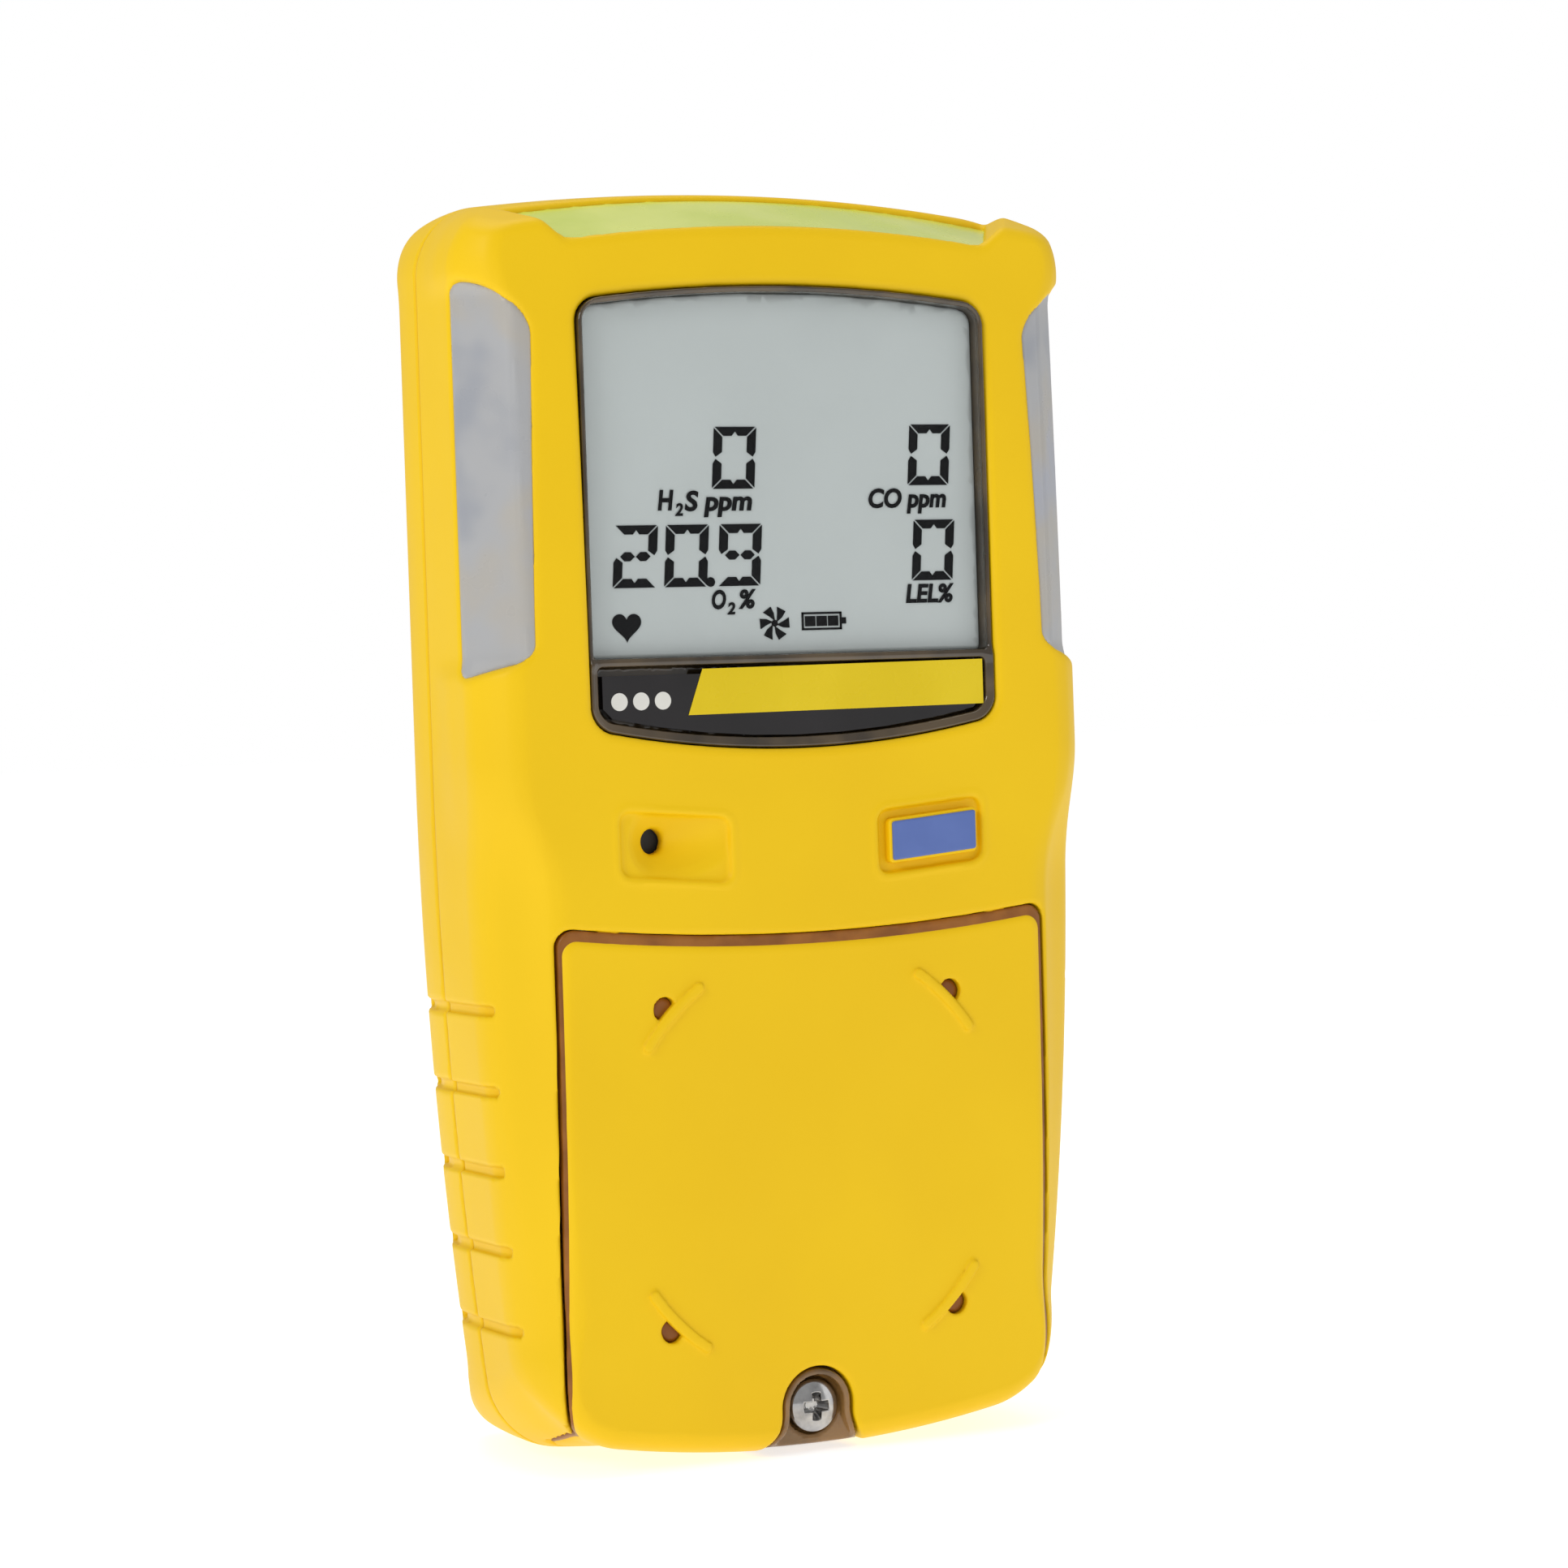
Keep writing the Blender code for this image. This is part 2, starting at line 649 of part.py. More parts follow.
def plate_window_outline(grow=0.0):
    half, top, corner = PLATE_HALF + grow, PLATE_TOP + grow, PLATE_BOTTOM + 1.0 - grow
    low = arc_points(half - 1.0, PLATE_BOTTOM - grow, -2.2, 8)
    return [(-half, top), (half, top), (half, corner)] + low[::-1] + [(-half, corner)]


def make_display():
    frame = prism("display_frame", display_outline(-GAP), *FRAME_Y)
    cut(frame, prism("window", lcd_window_outline(), -30, 0),
        prism("window", plate_window_outline(), -30, PLATE_SEAT_Y))
    finish(frame, "smoke_polycarbonate")
    window = lcd_window_outline(-GAP)
    prism("display_lens", window, *LENS_Y, material_name="lens")
    prism("lcd_glass", window, *LCD_Y, material_name="lcd")
    prism("lcd_backlight", window, *BACKLIGHT_Y, material_name="sensor_white")
    prism("name_plate", plate_window_outline(-GAP), *PLATE_Y, material_name="label")


# ---------------------------------------------------------------- button and sounder
def make_button():
    key = prism("button_key", key_outline(-KEY_CLEARANCE), -18.2, POCKET_Y)
    add(key, boss(KEY_STEM_HOLE - 0.5, -17.4, -13.4, (KEY_MIDDLE, KEY_Z)))
    cut(key, prism("pocket", key_outline(-KEY_CLEARANCE - KEY_LIP), -30, -17.7))
    finish(key, "yellow_rubber")
    pad_outline = key_outline(-KEY_CLEARANCE - KEY_LIP - GAP)
    pad = prism("button_pad", pad_outline, -18.4, -18.0, material_name="button_blue")
    for obj in (key, pad):
        set_pivot(obj, (KEY_MIDDLE, POCKET_Y, KEY_Z))
    turned("buzzer", [(5.6, -14.0), (5.9, -13.6), (5.9, -11.6)], (HOLE_X, 0, HOLE_Z), "Y", 24)


# ---------------------------------------------------------------- inside the upper half
def make_boxes():
    for name, (low, high, bevel, material_name) in BOXES.items():
        block(name, low, high, bevel, material_name)


def make_pump():
    """The pump's motor and its eccentric, on one axis along X."""
    y, z = PUMP_AXIS
    turned("pump_motor", [(2.0, -14.6), (2.0, -13.6), (6.0, -13.6), (6.0, 1.6)],
           (0, y, z), "X", 24, "steel")
    wheel = turned("pump_eccentric", [(3.6, -17.6), (3.6, -14.9)], (0, y, z), "X", 20)
    weight = turned("weight", [(2.2, -20.6), (2.2, -17.0)], (0, y, z - 1.2), "X", 16)
    finish(set_pivot(add(wheel, weight), (-14.9, y, z)), "brass")
    route = [(9, 10.0, 29.8), (9, 10.0, 36), (9, 10.0, 44), (9, 9.9, 50), (9, 9.1, 53.6),
             (9, 7.0, 56.2), (9, 4.0, 57.3), (9, 1.6, 58.1), (9, -0.2, 59.6), (9, -0.5, 61.7)]
    tube_along("pump_tube", route, 1.4, "silicone")


def make_alerts():
    """The vibration motor and its weight, a cylinder with one side cut away."""
    x, y = SHAKER_AXIS
    rod("vibration_motor", 3.0, 88, 99, (x, y, 0), "Z", 20, "steel")
    weight = rod("vibration_weight", 2.9, 99.8, 103.6, (x, y, 0), "Z", 20)
    cut(weight, block("cut_away", (x - 6, y - 6, 98), (x + 6, y - 1.1, 110)))
    finish(set_pivot(weight, (x, y, 99.8)), "brass")


# ---------------------------------------------------------------- sensor compartment
def make_sensors():
    offset = SENSOR_PITCH / 2
    names = {
        "sensor_hydrogen_sulphide": (-1, 1), "sensor_carbon_monoxide": (1, 1),
        "sensor_oxygen": (-1, -1), "sensor_combustible": (1, -1),
    }
    places = {
        name: (sx * offset, SENSOR_CENTRE_Z + sz * offset) for name, (sx, sz) in names.items()
    }
    for name, (x, z) in places.items():
        profile = [(4.0, -10.6), (4.0, -10.2), (9.4, -10.2), (SENSOR_RADIUS, -9.6),
                   (SENSOR_RADIUS, 5.0)]
        turned(name, profile, (x, 0, z), "Y", 28, "sensor_white")
    tray_outline = [(-22.5, 53), (22.5, 53), (22.5, 17), (17.5, 8.9), (-17.5, 8.9), (-22.5, 17)]
    tray = prism("sensor_tray", tray_outline, -8.4, -5.4)
    cut(tray, *(boss(SENSOR_RADIUS + GAP, -20, 20, place) for place in places.values()))
    finish(tray, "black_plastic")
    return places


def ridges(depth_low, depth_high):
    """Four arcs of one circle about the middle of the cover, as one multi-part tool."""
    bm = bmesh.new()
    half_angle, steps, half_thick = math.radians(11.5), 6, 0.65
    for quarter in range(4):
        middle = math.radians(45 + 90 * quarter)
        angles = [middle - half_angle + 2 * half_angle * i / steps for i in range(steps + 1)]
        outline = [
            ((RIDGE_RADIUS + half_thick) * math.cos(a), (RIDGE_RADIUS + half_thick) * math.sin(a))
            for a in angles
        ] + [
            ((RIDGE_RADIUS - half_thick) * math.cos(a), (RIDGE_RADIUS - half_thick) * math.sin(a))
            for a in reversed(angles)
        ]
        ends = [
            [bm.verts.new((x, depth, SENSOR_CENTRE_Z + z)) for x, z in outline]
            for depth in (depth_low, depth_high)
        ]
        for i in range(len(outline)):
            j = (i + 1) % len(outline)
            bm.faces.new((ends[0][i], ends[0][j], ends[1][j], ends[1][i]))
        bm.faces.new(ends[0])
        bm.faces.new(ends[1])
    return mesh_object("ridges", bm)


def make_cover():
    cover = keep_inside(layer(0, SKIN),
                        prism("outline", cover_outline(), -30, COVER_BACK_Y - GAP))
    raised = keep_inside(layer(-0.4, 1.0), ridges(-25, -14))
    add(cover, raised)
    port_radius = RIDGE_RADIUS + 1.5
    ports = [
        (port_radius * math.cos(a), SENSOR_CENTRE_Z + port_radius * math.sin(a))
        for a in (math.radians(45 + 90 * i) for i in range(4))
    ]
    cut(cover, prism("arch", arch_outline(), -30, 0),
        *(boss(0.8, -30, -10, place) for place in ports))
    for side in (-1, 1):
        low, high = sorted((side * 20.4, side * 22.9))
        add(cover, block("hook", (low, -17.6, 52.5), (high, -16.6, 54.5)))
    finish(cover, "yellow_rubber")
    cover.name = "front_cover"

    frame = keep_inside(
        layer(SHELL_OUT, SHELL_IN),
        prism("outline", cover_outline(-LEDGE - GAP, -LEDGE - GAP), -30, COVER_BACK_Y))
    add(frame, prism("seat", arch_outline(-GAP, 0.5), -15.3, SEAT_BACK_Y))
    cut(frame, boss(2.9, -30, -14.2, (0, SCREW_Z)),
        boss(COVER_SCREW_HOLE, -30, 0, (0, SCREW_Z)))
    frame.name = "cover_frame"
    finish(frame, "smoke_polycarbonate")


def make_cover_screw():
    profile = [(0.9, -16.2), (1.7, -16.0), (2.3, -15.4), (2.45, -14.5), (1.3, -14.5), (1.3, -7.0)]
    screw = turned("cover_screw", profile, (0, 0, SCREW_Z), "Y", 20)
    cut(screw, block("slot", (-1.5, -20, SCREW_Z - 0.3), (1.5, -15.4, SCREW_Z + 0.3)),
        block("slot", (-0.3, -20, SCREW_Z - 1.5), (0.3, -15.4, SCREW_Z + 1.5)))
    finish(set_pivot(screw, (0, -14.5, SCREW_Z)), "steel")


def make_case_screws():
    for name, (x, z) in CASE_SCREWS.items():
        profile = [(1.5, -7.5), (1.5, SCREW_SEAT_Y + GAP), (2.7, SCREW_SEAT_Y + GAP),
                   (2.7, SCREW_SEAT_Y + 1.6), (1.9, SCREW_SEAT_Y + 2.2)]
        turned(name, profile, (x, 0, z), "Y", 16, "steel")


# ---------------------------------------------------------------- rear: port, inlet, clip
def make_port():
    port = block("charge_port", (-5.5, 3.0, 0.6), (5.5, 9.0, 6.5), 0.4)
    cut(port, *(block("contact", (x - 0.7, 4.6, -1), (x + 0.7, 7.4, 1.6)) for x in (-3, 0, 3)))
    finish(port, "black_plastic")


def make_inlet():
    housing = turned("inlet_housing", [(5.0, 7.6), (5.0, 16.8), (6.6, 16.8), (6.6, 17.6)],
                     (0, 0, INLET_Z), "Y", 24)
    add(housing, rod("arm", SPIGOT_RADIUS, 0, SPIGOT_X, (0, SPIGOT_Y, INLET_Z), "X", 14),
        rod("spigot", SPIGOT_RADIUS, INLET_Z - SPIGOT_RADIUS, INLET_Z + 3.5,
            (SPIGOT_X, SPIGOT_Y, 0), "Z", 14))
    finish(housing, "black_plastic")
    turned("inlet_filter", [(6.4, 17.9), (6.4, 18.7)], (0, 0, INLET_Z), "Y", 24, "sensor_white")
    cap = block("inlet_cap", (-13, 16.8, INLET_Z - 8.5), (13, 21.6, INLET_Z + 8.5), 1.4)
    cut(cap, boss(7.0, 0, 19.4, (0, INLET_Z)),
        rod("passage", 2.3, INLET_Z - 20, INLET_Z, (0, NOZZLE_Y, 0), "Z", 16),
        *(boss(1.3, 0, 40, (side * INLET_SCREW_X, INLET_Z)) for side in (-1, 1)),
        *(boss(2.4, 20.0, 40, (side * INLET_SCREW_X, INLET_Z)) for side in (-1, 1)))
    finish(cap, "black_plastic")
    barb = [(1.5, 4.5), (2.0, 6.0), (1.5, 6.3), (1.5, 7.2), (2.0, 8.7), (1.5, 9.0), (1.5, 10.4),
            (2.0, 10.4), (2.0, INLET_Z - 7.4)]
    nozzle = turned("inlet_nozzle", barb, (0, NOZZLE_Y, 0), "Z", 20, "steel")
    cut(nozzle, rod("bore", 0.8, 0, 16, (0, NOZZLE_Y, 0), "Z", 12))
    finish(nozzle, "steel")
    for side, name in ((-1, "inlet_screw_left"), (1, "inlet_screw_right")):
        profile = [(1.0, 12.2), (1.0, 20.3), (2.0, 20.3), (1.8, 21.4)]
        turned(name, profile, (side * INLET_SCREW_X, 0, INLET_Z), "Y", 14, "steel")


def thick_line(points, thickness):
    """The outline of a bent strip that follows points in (y, z)."""
    left, right = [], []
    for i, p in enumerate(points):
        before, after = points[max(i - 1, 0)], points[min(i + 1, len(points) - 1)]
        along = (Vector(after) - Vector(before)).normalized()
        normal = Vector((-along.y, along.x)) * thickness / 2
        left.append(tuple(Vector(p) + normal))
        right.append(tuple(Vector(p) - normal))
    return left + right[::-1]


def make_clip():
    y, z = CLIP_PIN
    base = block("clip_base", (-9, CLIP_PLATE_Y[0], 62), (9, CLIP_PLATE_Y[1], 106))
    ear = [(CLIP_PLATE_Y[0] + 0.3, z - 7), (CLIP_PLATE_Y[0] + 0.3, z + 7), (y + 1, z + 3.2),
           (y + 2.8, z + 1.4), (y + 2.8, z - 1.4), (y + 1, z - 3.2)]
    for side in (-1, 1):
        low, high = sorted((side * 8.2, side * 9.0))
        add(base, prism("ear", ear, low, high, axis="X"))
    cut(base, rod("bore", 1.5, -12, 12, (0, y, z), "X", 16), boss(1.8, 0, 30, (0, CLIP_SCREW_Z)))
    finish(base, "steel")

    strip = thick_line([(18.8, 62.6), (21.4, 63.4), (23.6, 67.5), (26.4, 77), (28.2, 86),
                        (29.2, 93), (30.6, 100), (32.4, 106.5), (33.1, 112)], 1.0)
    lever = prism("clip_lever", strip, -8.6, 8.6, axis="X")
    flange = [(28.6, z - 6), (28.9, z + 5), (y + 1.2, z + 3.2), (y - 2.4, z + 1.6),
              (y - 2.4, z - 1.6), (y + 1.2, z - 3.2)]
    for side in (-1, 1):
        low, high = sorted((side * 6.9, side * 7.7))
        add(lever, prism("flange", flange, low, high, axis="X"))
    cut(lever, rod("bore", 1.5, -12, 12, (0, y, z), "X", 16))
    finish(set_pivot(lever, (0, y, z)), "steel")

    rod("clip_pin", 1.2, -10.2, 10.2, (0, y, z), "X", 16, "steel")
    turned("clip_screw", [(1.5, 8.5), (1.5, 18.1), (3.0, 18.1), (2.8, 19.4), (1.8, 19.9)],
           (0, 0, CLIP_SCREW_Z), "Y", 18, "steel")
    make_clip_spring(y, z)


def make_clip_spring(y, z):
    """A torsion spring round the pin: four turns and two legs."""
    radius, turns, steps = 2.4, 4.5, 12
    count = int(turns * steps)
    coil = [
        (-4.0 + 8.0 * i / count, y + radius * math.cos(a), z + radius * math.sin(a))
        for i, a in ((i, math.radians(200) + 2 * math.pi * i / steps) for i in range(count + 1))
    ]
    start, end = coil[0], coil[-1]
    first = [(start[0], 18.6, z - 9.5), (start[0], start[1] - 1.5, start[2] - 3.0)]
    last = [(end[0], end[1] + 0.6, end[2] - 3.0), (end[0], 25.6, z - 8.5)]
    tube_along("clip_spring", first + coil + last, 0.4, "steel", resolution=1)


# ---------------------------------------------------------------- assembly
def centre_depth():
    """Shifts everything in Y so that the origin is under the middle of the whole part."""
    for obj in bpy.data.objects:
        obj.location.y += Y_CENTRE_SHIFT * MM


def main():
    clear_scene()
    make_casings()
    make_display()
    make_button()
    make_boxes()
    make_pump()
    make_alerts()
    make_sensors()
    make_cover()
    make_cover_screw()
    make_case_screws()
    make_port()
    make_inlet()
    make_clip()
    centre_depth()


main()
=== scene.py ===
"""Looks of the portable four-gas detector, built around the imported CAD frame.

Shapes are modelled as distance fields in millimetres, in the body's own layout: +X is the user's
right, -Y the front and +Z up. A field is negative inside a piece. mesh_piece() turns a field into a
mesh in metres and moves it onto the CAD frame.
"""
import json
import math

import bmesh
import bpy
import numpy as np
from mathutils import Matrix, Vector


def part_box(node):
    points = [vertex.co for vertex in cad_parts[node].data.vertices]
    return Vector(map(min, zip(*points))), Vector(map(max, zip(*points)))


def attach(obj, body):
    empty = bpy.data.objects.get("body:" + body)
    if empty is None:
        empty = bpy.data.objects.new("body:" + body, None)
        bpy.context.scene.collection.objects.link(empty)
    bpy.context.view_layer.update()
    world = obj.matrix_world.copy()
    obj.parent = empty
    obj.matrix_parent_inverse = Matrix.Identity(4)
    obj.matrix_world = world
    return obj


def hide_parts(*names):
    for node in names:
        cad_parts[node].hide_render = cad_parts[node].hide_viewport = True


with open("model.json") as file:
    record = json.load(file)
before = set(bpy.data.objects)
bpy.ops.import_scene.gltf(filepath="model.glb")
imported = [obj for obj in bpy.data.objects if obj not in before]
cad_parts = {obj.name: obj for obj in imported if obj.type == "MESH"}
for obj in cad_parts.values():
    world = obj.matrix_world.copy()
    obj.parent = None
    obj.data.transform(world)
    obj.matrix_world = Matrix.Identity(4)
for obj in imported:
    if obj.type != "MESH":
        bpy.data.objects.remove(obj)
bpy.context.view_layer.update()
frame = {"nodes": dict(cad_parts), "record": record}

NODES = frame["nodes"]

# ---------------------------------------------------------------- driving sizes, mm
MM = 0.001
BEZEL_FRONT = -17.5
DEPTH_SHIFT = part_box("display_frame")[0].y / MM - BEZEL_FRONT   # from body layout to the frame
HEIGHT = 131.0
FOOT = -0.22                        # where the bottom arc ends, before its corner is rounded
SIDE = 34.6                         # half the width
BUMP = 0.4                          # how far the bumpers round the side windows stand out
TAPER_TOP = 71.0                    # below this height the case narrows
FRONT = 18.4
BACK = 16.5
PARTING = -2.0
SKIN = 1.9                          # thickness of the rubber
TOP_WINDOW_HALF = 23.2              # half its width at the depth TOP_WINDOW_FRONT
TOP_WINDOW_FRONT = 17.3
TOP_WINDOW_FLARE = 0.58
ARC_X = 21.9                        # where the arched edges of the display reach their full drop
COVER_HALF = 27.5
COVER_TOP = 53.0
COVER_RISE = 1.6                    # how far the cover's top edge rises towards COVER_RISE_X
COVER_RISE_X = 26.1
COVER_DRAFT = 0.6                   # how fast the cover's sides draw in behind COVER_DRAFT_FRONT
COVER_DRAFT_FRONT = -16.0
COVER_DRAFT_RUN = 4.0
COVER_STEP = 9.0                    # how much further back the cover reaches at its bottom edge
COVER_BACK = 13.7
OPENING_BACK = 13.4
ARCH_Z = 5.1                        # the recess round the cover's screw
ARCH_RADIUS = 4.1
SCREW_Z = 4.9
KEY_CENTRE = 14.5
KEY_Z = 63.2
KEY_SLANT = math.tan(math.radians(5))
KEY_SHIFT = 0.15
WELL = (6.0, 3.25, 1.1)             # half sizes and corner radius of the recesses for key and sounder
HOLE = (-16.2, 63.8)
HOLE_RADIUS = 1.3
GRIPS = [14.85 + 8.16 * i for i in range(5)]
RIDGE_Z = 30.6
RIDGE_RADIUS = 22.2
PORT_RADIAL = 0.9                   # how far outside the ridges the cover's four ports lie
CASE_SCREWS = [(-27.8, 119.5), (27.8, 119.5), (-23.8, 10.0), (23.8, 10.0)]
CASE_SCREW_NAMES = ("top_left", "top_right", "bottom_left", "bottom_right")
INLET_Z = 26.0
INLET_SCREW_X = 10
NOZZLE_Y = 19.3
CHARGE_PORT_Y = 6.0
REAR_LABEL_Z = 48
CLIP_PIN = (24.5, 88.0)
CLIP_SCREW_Z = 99.0
EAR_X = 8.6                         # the clip base's two ears
FLANGE_X = 7.3                      # the lever's two flanges, between the ears
SENSOR_OFFSET = 11.0
INK_FRONT = -15.5
INK_THICKNESS = 0.09
INK_SHIFT = (0.85, 0.15)
PRINT_FRONT = -16.96                # the band and the dots on the name plate
PRINT_THICKNESS = 0.05
BAND_OUTLINE = [(-12.2, 76.45), (21.8, 76.65), (21.8, 81.3), (-10.5, 81.1)]


# ---------------------------------------------------------------- field tools
def ramp(value, low, high):
    t = np.clip((value - low) / (high - low), 0, 1)
    return t * t * (3 - 2 * t)


def join_round(a, b, radius):
    """The intersection of two fields, with its edge rounded to the radius."""
    corner = np.hypot(np.maximum(a + radius, 0), np.maximum(b + radius, 0))
    return np.minimum(np.maximum(a, b), -radius) + corner


def cut_round(a, b, radius):
    """Field a with b taken away, with the new edge rounded."""
    return join_round(a, -b, radius)


def add_round(a, b, radius):
    """The union of two fields, with a fillet where they meet."""
    return -join_round(-a, -b, radius)


def swept_edge(p, q, run, fall, power):
    """A corner between two faces as part of a superellipse: p and q grow from 0 to 1 over run and fall."""
    p, q = np.maximum(p, 0), np.maximum(q, 0)
    rho = np.maximum((p ** power + q ** power) ** (1 / power), 1e-3)
    slope = np.hypot((p / rho) ** (power - 1) / run, (q / rho) ** (power - 1) / fall)
    return np.maximum((rho - 1) / np.maximum(slope, 1 / 30), -20)


def box2(u, v, half_u, half_v, radius):
    """A rounded rectangle."""
    du = np.abs(u) - half_u + radius
    dv = np.abs(v) - half_v + radius
    outside = np.hypot(np.maximum(du, 0), np.maximum(dv, 0))
    return outside + np.minimum(np.maximum(du, dv), 0) - radius


def disc(u, v, radius):
    return np.hypot(u, v) - radius


# ---------------------------------------------------------------- the body's outer surface
def body(x, y, z, bulge=1.4):
    """The whole case without openings. bulge sets how full the slanted flanks are: 1 flat, 2 round."""
    wide = np.abs(x)
    forward = -y
    bumps = ramp(z, 118.5, 121.5) + (1 - ramp(z, 80.5, 83.0)) * ramp(z, 63, 73)
    width = SIDE - np.maximum(TAPER_TOP - z, 0) ** 2 / 1060 + BUMP * bumps * ramp(forward, 3, 9)
    side = wide - width
    top = z - HEIGHT + x * x / 480
    bottom = x * x / (240 + 300 * ramp(y, -12, 0)) - 0.25 + 0.5 * ramp(forward, 0, 7) - z
    bottom = np.maximum(bottom, FOOT - z)
    outline = join_round(join_round(side, top, 7.0), bottom, 7.0 + 1.5 * ramp(forward, 5, 14))
    at_top = ramp(top - side, -9, 3)
    at_bottom = ramp(bottom - side, -9, 3)
    reach = 22 - 14 * at_top - 18 * at_bottom
    shell = swept_edge((outline + reach) / reach, (y + 0.5) / (BACK + 0.5), reach, BACK + 0.5, 2)

    upper = ramp(z, 59, 72)
    face = FRONT - (z - 62) ** 2 / 3000 - wide ** 2 / 2600
    run = (6.2 - 1.4 * upper) * (1 - at_bottom) + 2.4 * at_bottom - 1.4 * at_top
    fall = (7.9 - 2.4 * upper) * (1 - at_bottom) + 3.0 * at_bottom - 1.5 * at_top
    flank = swept_edge((outline + run) / run, (forward - face + fall) / fall, run, fall, bulge)
    shell = join_round(shell, flank, 0.8)

    scoop_end = np.maximum(z - 56, 0) * 0.55 + np.maximum(4 - z, 0) * 0.5
    scoop = np.hypot(np.hypot(wide - 33.6, forward - 20.8), scoop_end) - 6.0
    shell = cut_round(shell, scoop, 2.0)
    shell = join_round(shell, forward - face, 1.2)

    window_side = wide - TOP_WINDOW_HALF - (TOP_WINDOW_FRONT - forward) * TOP_WINDOW_FLARE
    ear = 2.0 * ramp(window_side, -0.5, 2.8)
    slant = (forward - 17.0 + 2.5 * (z + x * x / 352 - 125.9)) / 2.69 - ear
    return join_round(shell, slant, 1.0)


# ---------------------------------------------------------------- outlines on the front
def display_outline(x, z, grow=0.0):
    share = (x / ARC_X) ** 2
    sides = np.abs(x) - 23.1 - grow
    upper = z - 120.0 + 1.5 * share - grow
    lower = 72.7 + 2.3 * share - z - grow
    return join_round(join_round(sides, upper, 2.2), lower, 2.2)


def lcd_outline(x, z, grow=0.0):
    upper = z - 119.3 + 1.5 * (x / ARC_X) ** 2 - grow
    return join_round(join_round(np.abs(x) - 22.5 - grow, upper, 1.5), 82.35 - z - grow, 0.5)


def plate_outline(x, z, grow=0.0):
    lower = 73.9 + 2.2 * (x / ARC_X) ** 2 - z - grow
    return join_round(join_round(np.abs(x) - 22.1 - grow, lower, 1.6), z - 81.5 - grow, 0.6)


def cover_outline(x, y, z, grow=0.0, top_grow=0.0):
    upper = z - COVER_TOP - COVER_RISE * (x / COVER_RISE_X) ** 2 - top_grow
    draft = COVER_DRAFT * np.clip(y - COVER_DRAFT_FRONT, 0, COVER_DRAFT_RUN)
    sides = np.abs(x) - COVER_HALF - grow + draft
    return join_round(sides, upper, 2.0)


def cover_back(y, z, limit):
    """The plane behind the cover, which steps back at the bottom edge."""
    return y + limit - COVER_STEP * (1 - ramp(z, 1.5, 8))


def arch_outline(x, z, grow=0.0):
    flare = 0.13 * np.maximum(4.4 - z, 0) ** 2
    straight = np.abs(x) - ARCH_RADIUS - flare
    return np.where(z > ARCH_Z, disc(x, z - ARCH_Z, ARCH_RADIUS), straight) - grow


def slanted(x, z, mirror=1):
    """Coordinates along and across the slanted recesses for the key and the sounder."""
    u = mirror * x - KEY_CENTRE
    return u, z - KEY_Z - u * KEY_SLANT


def side_window_outline(x, y, z, grow=0.0):
    along = (np.abs(x) - 29.3) * 0.625 + (y + 17.4) * 0.781
    lower = 82.4 - 0.22 * along - z - grow
    upper = z - 120.3 - grow
    slant = (z - 116.9) * 0.77 - along * 0.64 - grow
    shape = join_round(-along - grow, along - 8.0 - grow, 1.0)
    shape = join_round(shape, lower, 1.6)
    return join_round(join_round(shape, slant, 1.6), upper, 1.6)


def top_window_outline(x, y, grow=0.0):
    sides = (np.abs(x) - TOP_WINDOW_HALF - (TOP_WINDOW_FRONT + y) * TOP_WINDOW_FLARE) * 0.87
    shape = join_round(sides - grow, -y - 15.9 - grow, 1.2)
    return join_round(shape, y + 5.6 - grow, 0.8)


def grip_grooves(x, y, z, surface):
    nearest = np.min([np.abs(z - grip) for grip in GRIPS], axis=0)
    groove = box2(y + 3.0, nearest, 9.8 - 0.03 * (GRIPS[-1] - z), 0.55, 0.5)
    return join_round(np.maximum(groove, 20 - np.abs(x)), -(surface + 0.7), 0.12)


def ridge_shape(x, z):
    """The four arcs, as a flat field, and the distance from their circle."""
    angle = np.arctan2(z - RIDGE_Z, x)
    from_middle = np.abs(np.mod(angle, math.pi / 2) - math.pi / 4) * RIDGE_RADIUS
    radial = np.hypot(x, z - RIDGE_Z) - RIDGE_RADIUS
    return box2(from_middle, radial, 4.6, 0.55, 0.5), from_middle, radial


def cross_slot(u, v, length, wing):
    """Two crossed bars, for the recess in a screw's head."""
    return np.minimum(box2(u, v, length, wing, 0.1), box2(u, v, wing, length, 0.1))


